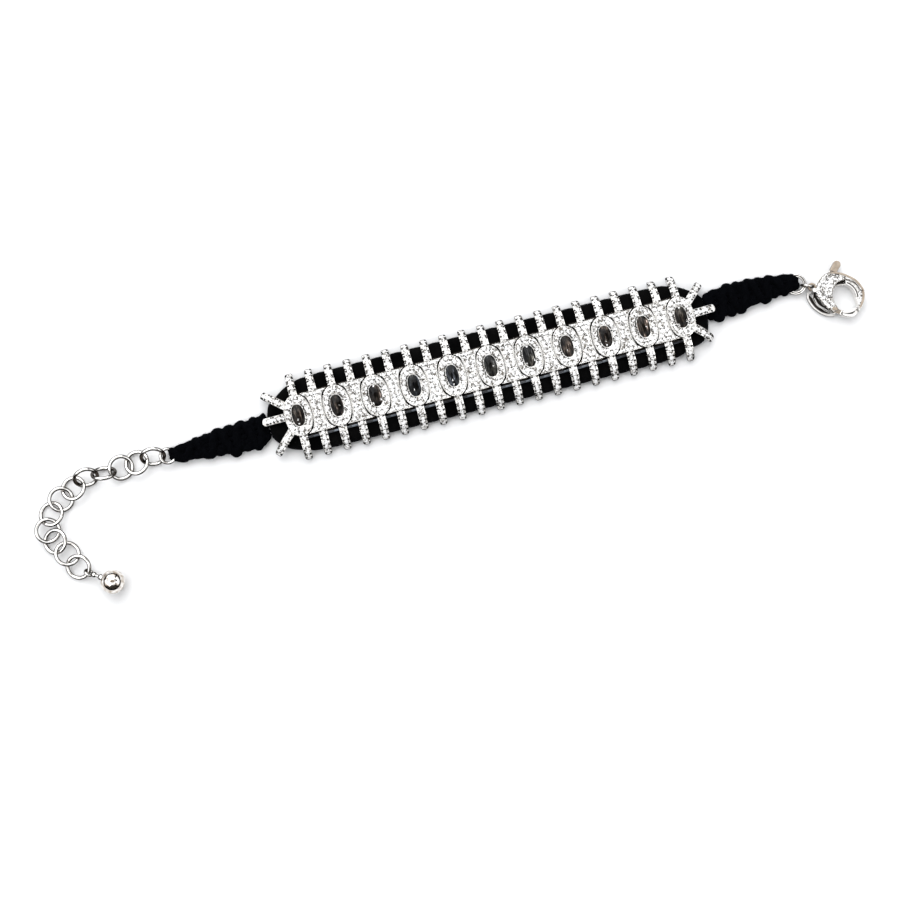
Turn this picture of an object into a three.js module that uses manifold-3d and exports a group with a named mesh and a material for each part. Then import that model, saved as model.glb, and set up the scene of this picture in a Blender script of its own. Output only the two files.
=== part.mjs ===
// Fabric bracelet, laid open on a surface.
// A padded fabric band carries a hinged metal panel of oval and bar plates, whose ribs clamp
// over the edges of the band. Knotted cord ends lead to an extender chain and a trigger clasp.
// Millimetres, +Z up. +X runs along the band towards the clasp. The origin is on the
// underside of the band, below the middle stone.

import * as THREE from 'three';
import Module from 'manifold-3d';
import { mergeVertices } from 'three/addons/utils/BufferGeometryUtils.js';

const wasm = await Module();
wasm.setup();

// ---------- driving dimensions ----------

const PITCH = 8.8; // from one oval plate to the next
const OVALS = 11;

const OVAL_HALF_X = 3.05;
const OVAL_HALF_Y = 4.6;
const OVAL_FULLNESS = 2.6; // exponent of the rounded outline, 2 is an ellipse
const PLATE_GAP = 0.25; // hinge gap between an oval plate and a bar plate
const BAR_HALF_Y = 4.7;
const PLATE_LOW = 2.4;
const PLATE_SHOULDER = 3.65;
const PLATE_HIGH = 3.9;
const LEDGE = 0.35; // how far the foot of a plate stands out along its long sides
const CHAMFER = 0.22;

const STONE = { halfX: 1.5, halfY: 2.5, low: 2.95, girdle: 3.75, table: 4.2 };
const SEAT_GAP = 0.15; // all round a stone

const RIB_THICK = 0.9;
const RIB_REACH = 5.1; // from the plate's edge to the outside of the rib's tip
const FLOOR_GAP = 0.05; // small metal parts stand this far above the surface

const CLASP_AT = new THREE.Vector3(81.0, -4.65, FLOOR_GAP); // middle of the clasp's hole

// ---------- finishes ----------

const finish = (color, roughness, metalness) =>
  new THREE.MeshStandardMaterial({ color, roughness, metalness });
const paveMetal = finish(0xe4e2de, 0.3, 1);
const polishedMetal = finish(0xd9d7d3, 0.12, 1);
const darkStone = finish(0x3b3734, 0.08, 0);
const velvet = finish(0x08080b, 0.95, 0);
const knottedCord = finish(0x0a0a0f, 0.9, 0);

// ---------- making closed solids ----------

function solidOf(geometry) {
  const bare = geometry.clone();
  bare.deleteAttribute('normal');
  bare.deleteAttribute('uv');
  const merged = mergeVertices(bare, 1e-4);
  const vertProperties = new Float32Array(merged.attributes.position.array);
  const triVerts = new Uint32Array(merged.index.array);
  return new wasm.Manifold(new wasm.Mesh({ numProp: 3, vertProperties, triVerts }));
}

function geometryOf(solid) {
  const mesh = solid.getMesh();
  const geometry = new THREE.BufferGeometry();
  geometry.setAttribute('position', new THREE.BufferAttribute(mesh.vertProperties, 3));
  geometry.setIndex(new THREE.BufferAttribute(mesh.triVerts, 1));
  geometry.computeVertexNormals();
  return geometry;
}

// A skin through loops with equal counts of points, closed by a cap at both ends.
// Each loop turns anticlockwise as seen from the last loop's side.
function loft(loops, capFaces) {
  const count = loops[0].length;
  const last = (loops.length - 1) * count;
  const faces = [];
  for (let k = 0; k < loops.length - 1; k++) {
    for (let i = 0; i < count; i++) {
      const a = k * count + i;
      const b = k * count + ((i + 1) % count);
      faces.push(a, b, b + count, a, b + count, a + count);
    }
  }
  for (const [a, b, c] of capFaces) {
    faces.push(c, b, a, last + a, last + b, last + c);
  }
  const geometry = new THREE.BufferGeometry();
  const positions = new Float32Array(loops.flat(2));
  geometry.setAttribute('position', new THREE.BufferAttribute(positions, 3));
  geometry.setIndex(faces);
  geometry.computeVertexNormals();
  return geometry;
}

const fan = (count) => Array.from({ length: count - 2 }, (_, i) => [0, i + 1, i + 2]);

// A plate whose level loops need a proper cap, because its outline may be hollow.
function stackedPlate(loops) {
  const outline = loops[0].map(([x, y]) => new THREE.Vector2(x, y));
  return loft(loops, THREE.ShapeUtils.triangulateShape(outline, []));
}

function extruded(shape, low, high, curveSegments = 3) {
  const geometry = new THREE.ExtrudeGeometry(shape, {
    depth: high - low,
    bevelEnabled: false,
    curveSegments,
  });
  geometry.translate(0, 0, low);
  return solidOf(geometry);
}

function disc(x, y, radius, low, high, sides = 12) {
  const geometry = new THREE.CylinderGeometry(radius, radius, high - low, sides);
  geometry.rotateX(Math.PI / 2);
  geometry.translate(x, y, (low + high) / 2);
  return solidOf(geometry);
}

function wireRing(middleRadius, wire, sides = 6, steps = 14) {
  return new THREE.TorusGeometry(middleRadius, wire / 2, sides, steps);
}

// The turn that lays a ring's axis over by `tilt` degrees towards the compass angle `lean`.
function ringTurn({ tilt, lean }) {
  const tip = THREE.MathUtils.degToRad(tilt);
  const way = THREE.MathUtils.degToRad(lean);
  const axis = new THREE.Vector3(
    Math.sin(tip) * Math.cos(way),
    Math.sin(tip) * Math.sin(way),
    Math.cos(tip),
  );
  return new THREE.Quaternion().setFromUnitVectors(new THREE.Vector3(0, 0, 1), axis);
}

const group = new THREE.Group();

function addPiece(name, geometry, material, x = 0, y = 0, z = 0) {
  const mesh = new THREE.Mesh(geometry, material);
  mesh.name = name;
  mesh.position.set(x, y, z);
  group.add(mesh);
  return mesh;
}

const numbered = (stem, index) => `${stem}_${String(index + 1).padStart(2, '0')}`;

// ---------- ribs ----------

// Stations of a rib, for a rib of the full reach: distance out from the plate's edge,
// height of the middle of its thickness, and half its width.
const RIB_STATIONS = [
  { out: -0.7, height: 3.2, half: 0.82 },
  { out: 2.4, height: 2.95, half: 0.82 },
  { out: 3.7, height: 2.3, half: 0.82 },
  { out: 4.5, height: 1.45, half: 0.74 },
  { out: 4.72, height: 0.8, half: 0.5 },
];

// A bar of metal that leaves a plate at (x, y) on the heading, and falls at its outer end.
// fall 1 bends it fully round the edge of the band, fall 0 keeps it level.
function rib({ x, y, heading, length = RIB_REACH, fall = 1 }) {
  const way = THREE.MathUtils.degToRad(heading);
  const stretch = length / RIB_REACH;
  const top = RIB_STATIONS[0].height;
  const path = RIB_STATIONS.map(({ out, height, half }) => ({
    out: out * stretch,
    height: top - (top - height) * fall,
    half,
  }));
  const loops = path.map((at, k) => {
    const before = path[Math.max(0, k - 1)];
    const after = path[Math.min(path.length - 1, k + 1)];
    const run = new THREE.Vector2(after.out - before.out, after.height - before.height);
    run.normalize();
    const section = [
      [-at.half, -RIB_THICK / 2],
      [-at.half, RIB_THICK * 0.2],
      [-at.half * 0.7, RIB_THICK / 2],
      [at.half * 0.7, RIB_THICK / 2],
      [at.half, RIB_THICK * 0.2],
      [at.half, -RIB_THICK / 2],
    ];
    return section.map(([across, rise]) => {
      const out = at.out - rise * run.y;
      const height = at.height + rise * run.x;
      return [
        x + out * Math.cos(way) + across * Math.sin(way),
        y + out * Math.sin(way) - across * Math.cos(way),
        height,
      ];
    });
  });
  return solidOf(loft(loops, fan(6)));
}

// ---------- oval plates and their stones ----------

function ovalLoop(growX, growY, z) {
  const corners = 20;
  const power = 2 / OVAL_FULLNESS;
  return Array.from({ length: corners }, (_, i) => {
    const turn = (2 * Math.PI * i) / corners;
    const c = Math.cos(turn);
    const s = Math.sin(turn);
    return [
      (OVAL_HALF_X + growX) * Math.sign(c) * Math.abs(c) ** power,
      (OVAL_HALF_Y + growY) * Math.sign(s) * Math.abs(s) ** power,
      z,
    ];
  });
}

function stoneSeat() {
  const seat = new THREE.Shape();
  seat.absellipse(0, 0, STONE.halfX + SEAT_GAP, STONE.halfY + SEAT_GAP, 0, 2 * Math.PI);
  return extruded(seat, STONE.low - SEAT_GAP, PLATE_HIGH + 1, 6);
}

function stoneGeometry() {
  const profile = [
    new THREE.Vector2(0, STONE.low),
    new THREE.Vector2(0.5, STONE.low),
    new THREE.Vector2(1, STONE.girdle),
    new THREE.Vector2(0.62, STONE.table),
    new THREE.Vector2(0, STONE.table),
  ];
  const geometry = new THREE.LatheGeometry(profile, 10);
  geometry.rotateX(Math.PI / 2);
  geometry.scale(STONE.halfX, STONE.halfY, 1);
  return geometry;
}

// Ribs that fan out round the two end plates, beside the two that every plate has.
// x and y are where the rib leaves the plate, from the plate's middle.
const FAN_LEFT = [
  { x: -2.7, y: 2.95, heading: 139, length: 5.7, fall: 0.85 },
  { x: -3.05, y: 0.3, heading: 180, length: 5.2, fall: 0.1 },
  { x: -2.35, y: -3.2, heading: 224, length: 5.9, fall: 0.85 },
];
const FAN_RIGHT = [
  { x: 2.25, y: 2.85, heading: 43, length: 5.6, fall: 0.85 },
  { x: 3.05, y: 0.1, heading: 2, length: 5.1, fall: 0.1 },
  { x: 2.1, y: -2.8, heading: -43, length: 5.35, fall: 0.9 },
];

function ovalPlate(fanRibs) {
  const plate = stackedPlate([
    ovalLoop(0, LEDGE, PLATE_LOW),
    ovalLoop(0, 0, PLATE_SHOULDER),
    ovalLoop(-CHAMFER, -CHAMFER, PLATE_HIGH),
  ]);
  const ribs = [
    { x: 0, y: BAR_HALF_Y, heading: 90 },
    { x: 0, y: -BAR_HALF_Y, heading: -90 },
    ...fanRibs,
  ];
  return ribs.reduce((all, each) => all.add(rib(each)), solidOf(plate)).subtract(stoneSeat());
}

for (let k = 0; k < OVALS; k++) {
  const x = (k - (OVALS - 1) / 2) * PITCH;
  const fans = [FAN_LEFT, FAN_RIGHT][[0, OVALS - 1].indexOf(k)] ?? [];
  addPiece(numbered('oval_link', k), geometryOf(ovalPlate(fans)), paveMetal, x);
  addPiece(numbered('oval_stone', k), stoneGeometry(), darkStone, x);
}

// ---------- bar plates ----------

// Straight along the band's edges, and hollowed at both ends to clear the oval plates.
function barLoop(growX, growY, z) {
  const halfY = BAR_HALF_Y + growY;
  const clearX = OVAL_HALF_X + PLATE_GAP - growX;
  const clearY = OVAL_HALF_Y + PLATE_GAP + 0.1;
  const steps = [-1, -0.85, -0.5, 0, 0.5, 0.85, 1];
  const side = steps.map((step) => {
    const y = step * halfY;
    const share = Math.min(1, Math.abs(step * BAR_HALF_Y) / clearY);
    return [PITCH / 2 - clearX * (1 - share ** OVAL_FULLNESS) ** (1 / OVAL_FULLNESS), y, z];
  });
  return [...side, ...side.map(([x, y]) => [-x, -y, z])];
}

function barPlate() {
  const plate = stackedPlate([
    barLoop(0, LEDGE, PLATE_LOW),
    barLoop(0, 0, PLATE_SHOULDER),
    barLoop(-CHAMFER, -CHAMFER, PLATE_HIGH),
  ]);
  return solidOf(plate)
    .add(rib({ x: 0, y: BAR_HALF_Y, heading: 90 }))
    .add(rib({ x: 0, y: -BAR_HALF_Y, heading: -90 }));
}

for (let k = 0; k < OVALS - 1; k++) {
  const x = (k + 1 - (OVALS - 1) / 2) * PITCH - PITCH / 2;
  addPiece(numbered('bar_link', k), geometryOf(barPlate()), paveMetal, x);
}

// ---------- soft band and knotted ends ----------

// Stations along X with the edge on the +Y side, the edge on the -Y side, and the thickness.
const BAND_STATIONS = [
  { x: -50.8, north: 1.9, south: -2.9, thick: 1.6 },
  { x: -50.1, north: 3.9, south: -4.1, thick: 1.95 },
  { x: -47.8, north: 5.6, south: -6.2, thick: 2.1 },
  { x: -45.2, north: 7.2, south: -7.25, thick: 2.1 },
  { x: -42, north: 8.1, south: -8.1, thick: 2.1 },
  { x: -36, north: 8.4, south: -8.4, thick: 2.1 },
  { x: -18, north: 8.4, south: -8.4, thick: 2.1 },
  { x: 0, north: 8.4, south: -8.4, thick: 2.1 },
  { x: 18, north: 8.4, south: -8.4, thick: 2.1 },
  { x: 36, north: 8.4, south: -8.4, thick: 2.1 },
  { x: 42, north: 8.1, south: -8, thick: 2.1 },
  { x: 45.2, north: 7.1, south: -6.9, thick: 2.1 },
  { x: 47.6, north: 5.7, south: -6.3, thick: 2.1 },
  { x: 49.3, north: 4.4, south: -4.6, thick: 1.95 },
  { x: 50.1, north: 3.4, south: -2.3, thick: 1.6 },
];

const BRAID_LEFT_STATIONS = [
  { x: -73.9, north: -0.4, south: -2.4, thick: 2.1 },
  { x: -72.6, north: 0.5, south: -3.1, thick: 2.4 },
  { x: -68.5, north: 1.2, south: -3.8, thick: 2.4 },
  { x: -64.6, north: 1.8, south: -4.35, thick: 2.4 },
  { x: -60.5, north: 2.35, south: -4.85, thick: 2.4 },
  { x: -56.5, north: 2.45, south: -5.2, thick: 2.4 },
  { x: -53.0, north: 2.8, south: -5.05, thick: 2.3 },
  { x: -51.8, north: 2.6, south: -3.7, thick: 2.1 },
  { x: -51.0, north: 1.9, south: -2.9, thick: 1.8 },
];

const BRAID_RIGHT_STATIONS = [
  { x: 50.3, north: 3.7, south: -2.2, thick: 1.8 },
  { x: 51.2, north: 4.6, south: -2.75, thick: 2.1 },
  { x: 55.5, north: 5.25, south: -2.55, thick: 2.4 },
  { x: 58.8, north: 5.3, south: -2.15, thick: 2.4 },
  { x: 62.1, north: 5.1, south: -1.6, thick: 2.4 },
  { x: 66.7, north: 4.1, south: -0.95, thick: 2.4 },
  { x: 70.6, north: 3.1, south: -0.4, thick: 2.2 },
  { x: 72.0, north: 1.7, south: 0.3, thick: 1.9 },
];

// A padded strip: flat below, round at the edges, full on top.
function paddedStrip(stations) {
  const loops = stations.map(({ x, north, south, thick }) => {
    const middle = (north + south) / 2;
    const half = (north - south) / 2;
    const soft = Math.min(1, half / 4);
    const edge = [
      [half - 0.6 * soft, 0],
      [half, 0.35 * thick],
      [half - 0.15 * soft, 0.6 * thick],
      [half - soft, 0.9 * thick],
      [half - 2.4 * soft, thick],
    ];
    return [
      ...edge.map(([across, z]) => [x, middle + across, z]),
      ...edge.map(([across, z]) => [x, middle - across, z]).reverse(),
    ];
  });
  return loft(loops, fan(10));
}

// ---------- rings at the cord ends ----------

const RING_LEFT = { x: -74.2, y: -1.3, z: 1.75, tilt: 18, lean: 10, middle: 1.6, wire: 0.7 };
const RING_RIGHT = { x: 71.5, y: 0.95, z: 1.2, tilt: 8, lean: 180, middle: 2.0, wire: 0.8 };
const RING_TUNNEL = 0.25; // slack of a cord loop round its ring

function placedRing(ring, slack = 0) {
  const geometry = wireRing(ring.middle, ring.wire + 2 * slack);
  geometry.applyQuaternion(ringTurn(ring));
  geometry.translate(ring.x, ring.y, ring.z);
  return geometry;
}

function braid(stations, ring) {
  return geometryOf(solidOf(paddedStrip(stations)).subtract(solidOf(placedRing(ring, RING_TUNNEL))));
}

addPiece('fabric_band', paddedStrip(BAND_STATIONS), velvet);
addPiece('braid_left', braid(BRAID_LEFT_STATIONS, RING_LEFT), knottedCord);
addPiece('braid_right', braid(BRAID_RIGHT_STATIONS, RING_RIGHT), knottedCord);
addPiece('end_ring_left', placedRing(RING_LEFT), polishedMetal);
addPiece('end_ring_right', placedRing(RING_RIGHT), polishedMetal);

// ---------- extender chain ----------

const LINK = { middle: 2.51, wire: 0.78 };

// Where each link lies: its middle, how far it is propped up above the surface, how far its
// axis is laid over, and the compass angle that the axis leans towards.
const CHAIN = [
  { x: -77.3, y: -0.7, lift: 0, tilt: 53, lean: 265 },
  { x: -81.2, y: -1.0, lift: 0.1, tilt: 18, lean: 125 },
  { x: -84.8, y: -1.2, lift: 0, tilt: 20, lean: 300 },
  { x: -88.6, y: -1.6, lift: 0, tilt: 58, lean: 80 },
  { x: -92.6, y: -1.5, lift: 0, tilt: 52, lean: 275 },
  { x: -96.0, y: -3.0, lift: 0, tilt: 20, lean: 120 },
  { x: -99.2, y: -4.7, lift: 0, tilt: 18, lean: 305 },
  { x: -102.0, y: -7.3, lift: 0, tilt: 18, lean: 125 },
  { x: -103.6, y: -10.7, lift: 0.1, tilt: 20, lean: 328 },
  { x: -102.6, y: -13.4, lift: 0, tilt: 20, lean: 175 },
  { x: -100.6, y: -16.7, lift: 0.3, tilt: 22, lean: 27 },
  { x: -99.0, y: -20.1, lift: 0, tilt: 20, lean: 227 },
];

CHAIN.forEach((link, k) => {
  const name = numbered('chain_link', k);
  const rest = LINK.middle * Math.sin(THREE.MathUtils.degToRad(link.tilt)) + LINK.wire / 2;
  const mesh = addPiece(name, wireRing(LINK.middle, LINK.wire), polishedMetal);
  mesh.position.set(link.x, link.y, rest + link.lift);
  mesh.quaternion.copy(ringTurn(link));
});

// ---------- ball drop ----------

const BALL = { x: -92.3, y: -25.25, radius: 2.65 };
const EYE = { x: -97.1, y: -21.9, z: 1.25, tilt: 56, lean: 40, middle: 0.85, wire: 0.5 };
const STEM_WIRE = 0.7;

function stem(from, to, wire) {
  const run = new THREE.Vector3().subVectors(to, from);
  const geometry = new THREE.CylinderGeometry(wire / 2, wire / 2, run.length(), 8);
  geometry.rotateX(Math.PI / 2);
  const turn = new THREE.Quaternion();
  turn.setFromUnitVectors(new THREE.Vector3(0, 0, 1), run.clone().normalize());
  geometry.applyQuaternion(turn);
  const middle = new THREE.Vector3().addVectors(from, to).multiplyScalar(0.5);
  geometry.translate(middle.x, middle.y, middle.z);
  return solidOf(geometry);
}

function ballDrop() {
  const ball = new THREE.SphereGeometry(BALL.radius, 14, 8);
  ball.rotateX(Math.PI / 2);
  ball.translate(BALL.x, BALL.y, BALL.radius);
  const middle = new THREE.Vector3(BALL.x, BALL.y, BALL.radius);
  const eye = new THREE.Vector3(EYE.x, EYE.y, EYE.z);
  const run = new THREE.Vector3().subVectors(middle, eye).setLength(EYE.middle);
  const start = new THREE.Vector3().addVectors(eye, run);
  return solidOf(ball).add(stem(start, middle, STEM_WIRE)).add(solidOf(placedRing(EYE)));
}

addPiece('ball_drop', geometryOf(ballDrop()), polishedMetal);

// ---------- clasp ----------

// The clasp is drawn round the middle of its hole. It is a sandwich: a back plate, a slot in
// which the lever turns, and a front plate, joined by the hook, the hinge pin and a post.
const BACK = { low: 0, high: 0.75 };
const FRONT = { low: 2.0, high: 2.8 };
const LEVER = { low: 0.97, high: 1.78 };
const HOOK_HIGH = 2.35;
const HOLE = { halfX: 2.6, halfY: 2.95 };
const PIVOT = { x: -3, y: -2, pin: 0.42, bore: 0.65, hub: 0.95 };
const GATE = { low: 0.4, high: 2.35, root: 1.85, tip: 5.45, clear: 0.25 };
const POST = { x: -6.1, y: 3.15, radius: 0.5 };
const LUG = { x: -6.2, y: 4.1, outer: 0.95, inner: 0.55, low: 1.0, high: 1.8 };
const TAB = { x: 0.6, y: 7.65, radius: 0.8, low: 0.7, high: 2.1 };

const points = (list) => list.map(([x, y]) => new THREE.Vector2(x, y));

// A closed outline from smooth runs, each a list of points, with a corner where two runs meet.
function outline(...runs) {
  const shape = new THREE.Shape();
  shape.moveTo(...runs[0][0]);
  runs.forEach((run, k) => {
    const rest = points(k === 0 ? run.slice(1) : run);
    if (k > 0) {
      shape.lineTo(rest[0].x, rest[0].y);
      rest.shift();
    }
    if (rest.length > 0) {
      shape.splineThru(rest);
    }
  });
  return shape;
}

const FRONT_OUTER = [
  [4.85, 0.3], [3.85, 2.85], [2.1, 4.6], [0.1, 5.8], [-1.65, 6.2], [-3.45, 5.85], [-4.6, 4.9],
  [-5.6, 3.7], [-6.0, 2.45], [-5.7, 1.1], [-4.6, -1.3], [-3.75, -2.3],
];
const FRONT_END = [[-3.4, -2.9], [-1.95, -2.45]];
const FRONT_INNER = [
  [-2.35, -1.3], [-2.6, 0.1], [-2.3, 1.6], [-1.6, 2.8], [-0.4, 3.55], [1.2, 3.7], [2.6, 3.0],
  [3.45, 1.9], [3.75, 0.6],
];
const BACK_OUTER = [
  [1.5, 5.0], [0.1, 5.8], [-1.65, 6.2], [-3.45, 5.85], [-4.6, 4.9], [-5.4, 3.7],
  [-6.5, 1.8], [-6.05, -0.1], [-5.05, -1.3], [-3.9, -2.4], [-2.7, -2.9],
];
const BACK_END = [[-1.95, -2.45], [-1.4, 0], [0.9, 2.75]];
const RIM_OUTER = [
  [-7.35, 3.2], [-7.75, 1.95], [-7.15, -0.2], [-5.85, -1.95], [-4.3, -3.1], [-2.7, -3.5],
];
const RIM_INNER = [
  [-2.4, -2.7], [-4.2, -2.3], [-5.5, -1.45], [-6.6, 0.05], [-7.15, 1.9], [-6.9, 2.75],
];
const RIM_HEAD = [[-6.1, 2.75], [-6.1, 3.5], [-6.9, 3.5]];
const HOOK_OUTER = [
  [1.9, -4.3], [3.15, -3.2], [3.95, -2.2], [4.5, -1.2], [4.8, 0.3], [3.8, 2.85], [2.1, 4.55],
  [1.5, 4.95],
];
const HOOK_INNER = [[0.8, 2.5], [-0.5, 0], [0.8, -2.6]];

function claspBody() {
  const hole = new THREE.Shape();
  hole.absellipse(0, 0, HOLE.halfX, HOLE.halfY, 0, 2 * Math.PI);
  const gateRoom = disc(PIVOT.x, PIVOT.y, GATE.tip + GATE.clear, -1, 4, 40);
  const hook = extruded(outline(HOOK_OUTER, HOOK_INNER), BACK.low, HOOK_HIGH)
    .subtract(gateRoom.subtract(extruded(outline([[0, 0], [9, 1], [9, 9], [0, 9]]), -2, 5)));
  const back = extruded(outline(BACK_OUTER, BACK_END), BACK.low, BACK.high);
  const rim = extruded(outline(RIM_OUTER, RIM_INNER, RIM_HEAD), BACK.low, BACK.high);
  const front = extruded(outline(FRONT_OUTER, FRONT_END, FRONT_INNER), FRONT.low, FRONT.high);
  const lug = disc(LUG.x, LUG.y, LUG.outer, LUG.low, LUG.high, 16);
  return hook
    .add(back)
    .subtract(extruded(hole, -1, FRONT.high, 6))
    .add(rim)
    .add(front)
    .add(disc(PIVOT.x, PIVOT.y, PIVOT.pin, BACK.low, FRONT.high))
    .add(disc(POST.x, POST.y, POST.radius, BACK.low, FRONT.high))
    .add(lug)
    .subtract(disc(LUG.x, LUG.y, LUG.inner, -1, 4, 12));
}

// A strip of even curve: points on its middle line, each with half the strip's width.
function strip(stations) {
  const curve = new THREE.CatmullRomCurve3(stations.map(([x, y]) => new THREE.Vector3(x, y, 0)));
  const steps = 3 * (stations.length - 1);
  const sides = [[], []];
  for (let i = 0; i <= steps; i++) {
    const t = i / steps;
    const at = curve.getPoint(t);
    const way = curve.getTangent(t);
    const share = t * (stations.length - 1);
    const low = Math.min(Math.floor(share), stations.length - 2);
    const half = THREE.MathUtils.lerp(stations[low][2], stations[low + 1][2], share - low);
    sides[0].push(new THREE.Vector2(at.x - way.y * half, at.y + way.x * half));
    sides[1].unshift(new THREE.Vector2(at.x + way.y * half, at.y - way.x * half));
  }
  return new THREE.Shape([...sides[0], ...sides[1]]);
}

const ARM = [
  [-3, -2, 0.6], [-3.85, 0.2, 0.55], [-3.55, 2.7, 0.55], [-2.2, 4.7, 0.6], [-0.85, 6.1, 0.78],
  [0.6, 7.65, 0.8],
];
const TAB_THICK = [[-0.1, 6.92, 0.78], [0.6, 7.65, 0.8]];
const GATE_NECK = [[-3, -2, 0.6], [-1.1, -3.4, 0.55]];
const GATE_OUTER = [
  [-1.72, -3.35], [-1.1, -4.2], [0.6, -4.75], [1.8, -4.3], [2.2, -3.65],
];
const GATE_INNER = [[2.4, -2.75], [1.6, -3.0], [0.5, -3.15], [-0.5, -3.05], [-1.2, -2.75]];

function claspLever() {
  return extruded(strip(ARM), LEVER.low, LEVER.high)
    .add(disc(PIVOT.x, PIVOT.y, PIVOT.hub, LEVER.low, LEVER.high, 14))
    .add(extruded(strip(GATE_NECK), LEVER.low, LEVER.high))
    .add(extruded(outline(GATE_OUTER, GATE_INNER), GATE.low, GATE.high))
    .add(extruded(strip(TAB_THICK), TAB.low, TAB.high))
    .add(disc(TAB.x, TAB.y, TAB.radius, TAB.low, TAB.high, 14))
    .subtract(disc(PIVOT.x, PIVOT.y, PIVOT.bore, -1, 4));
}

addPiece('clasp_body', geometryOf(claspBody()), paveMetal, ...CLASP_AT);
addPiece('clasp_lever', geometryOf(claspLever()), polishedMetal, ...CLASP_AT);

const BAIL = { x: 73.75, y: -0.07, z: 1.62, tilt: 85, lean: 65.5, middle: 1.3, wire: 0.55 };
addPiece('clasp_bail', placedRing(BAIL), polishedMetal);

export default group;
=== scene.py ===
# Fabric bracelet, laid open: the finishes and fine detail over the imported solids.
# Every piece is modelled in millimetres, in the part's own frame, and brought to metres when it
# is finished.

import math
import random

import bmesh
import bpy
import numpy as np
from mathutils import Matrix, Vector, noise


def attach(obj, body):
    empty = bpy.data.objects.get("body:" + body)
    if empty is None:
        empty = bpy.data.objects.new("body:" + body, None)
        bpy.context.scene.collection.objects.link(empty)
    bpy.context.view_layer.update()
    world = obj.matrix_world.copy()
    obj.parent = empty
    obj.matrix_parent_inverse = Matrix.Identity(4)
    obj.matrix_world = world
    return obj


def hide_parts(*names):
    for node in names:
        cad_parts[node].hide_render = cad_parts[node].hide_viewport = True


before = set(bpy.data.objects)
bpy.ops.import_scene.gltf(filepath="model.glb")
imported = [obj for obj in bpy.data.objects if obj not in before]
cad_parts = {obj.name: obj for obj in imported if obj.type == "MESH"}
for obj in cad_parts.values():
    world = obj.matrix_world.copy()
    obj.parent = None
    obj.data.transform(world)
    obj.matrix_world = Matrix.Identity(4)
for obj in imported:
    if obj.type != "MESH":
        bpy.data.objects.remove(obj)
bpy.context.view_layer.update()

MM = 0.001
TURN = 2 * math.pi
# Edges that turn by more degrees than this stay sharp to the eye.
SHARP = 40

# ---------- sizes shared with the solids, in millimetres ----------

PITCH = 8.8
OVALS = 11
OVAL_HALF = (3.05, 4.6)
OVAL_FULLNESS = 2.2
STONE_FULLNESS = 2.6
BAR_HALF_Y = 4.7
PLATE_LOW = 2.4
PLATE_TOP = 3.86
RAIL_TOP = 2.85
RAIL_WIDTH = 0.35
STONE_HALF = (1.44, 2.56)

# ---------- making pieces by hand ----------


def take(*pieces):
    """Selects just these pieces, the first one active."""
    bpy.ops.object.select_all(action="DESELECT")
    for piece in pieces:
        piece.select_set(True)
    bpy.context.view_layer.objects.active = pieces[0]


def pick(piece, wanted):
    """In edit mode, selects just the faces whose middle and normal are wanted."""
    bpy.ops.mesh.select_all(action="DESELECT")
    body = bmesh.from_edit_mesh(piece.data)
    for face in body.faces:
        face.select_set(wanted(face.calc_center_median(), face.normal))
    bmesh.update_edit_mesh(piece.data)


def edit(piece, wanted):
    """Edit mode, with the wanted faces picked."""
    take(piece)
    bpy.ops.object.mode_set(mode="EDIT")
    bpy.ops.mesh.select_mode(type="FACE")
    pick(piece, wanted)


def done():
    """Back out of edit mode."""
    bpy.ops.object.mode_set(mode="OBJECT")
    return bpy.context.object


def all_faces(middle, normal):
    return True


def facing_up(middle, normal):
    return normal.z > 0.9


def facing_down(middle, normal):
    return normal.z < -0.9


def pull(z, y=0.0):
    """Extrudes the picked faces by this much."""
    bpy.ops.mesh.extrude_region_move(TRANSFORM_OT_translate={"value": (0, y, z)})


def grow(x, y=1.0, z=1.0):
    bpy.ops.transform.resize(value=(x, y, z))


def taper(rise, share):
    """Extrudes the picked faces up or down and scales their outline."""
    pull(rise)
    grow(share, share)


def twist(degrees, axis="Z", centre=(0, 0, 0)):
    bpy.ops.transform.rotate(
        value=math.radians(degrees), orient_axis=axis, center_override=centre
    )


def cut_to_triangles(piece, method):
    pick(piece, all_faces)
    bpy.ops.mesh.quads_convert_to_tris(quad_method=method)
    done()


def sunk(piece, rim, depth):
    """Sinks the top of a piece inside a rim."""
    edit(piece, facing_up)
    bpy.ops.mesh.inset(thickness=rim)
    pull(-depth)
    return done()


def placed():
    """Puts the piece's place, turn and scale into its mesh."""
    bpy.ops.object.transform_apply(location=True, rotation=True, scale=True)
    return bpy.context.object


def cylinder(corners, radius, low, high, x=0.0, y=0.0):
    bpy.ops.mesh.primitive_cylinder_add(
        vertices=corners, radius=radius, depth=high - low, location=(x, y, (low + high) / 2)
    )
    return placed()


def block(middle, size):
    bpy.ops.mesh.primitive_cube_add(size=1, location=middle)
    bpy.context.object.scale = size
    return placed()


def ball(radius, segments, rings, middle=(0, 0, 0)):
    bpy.ops.mesh.primitive_uv_sphere_add(
        segments=segments, ring_count=rings, radius=radius, location=middle
    )
    bpy.ops.object.shade_smooth()
    return placed()


def modified(piece, kind, **settings):
    """Adds a modifier and applies it."""
    take(piece)
    modifier = piece.modifiers.new(kind.lower(), kind)
    for key, value in settings.items():
        setattr(modifier, key, value)
    bpy.ops.object.modifier_apply(modifier=modifier.name)
    return piece


def broken_edges(piece, width, rounds, degrees):
    """Rounds over the edges that are sharper than this."""
    modified(
        piece, "BEVEL", width=width, segments=rounds, limit_method="ANGLE",
        angle_limit=math.radians(degrees),
    )


def copied(piece, matrix):
    """A copy with its own mesh, moved by a matrix."""
    twin = piece.copy()
    twin.data = piece.data.copy()
    twin.data.transform(matrix)
    bpy.context.collection.objects.link(twin)
    return twin


def joined(pieces):
    take(*pieces)
    bpy.ops.object.join()
    return bpy.context.object


def discard(*pieces):
    for piece in pieces:
        bpy.data.objects.remove(piece)


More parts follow.
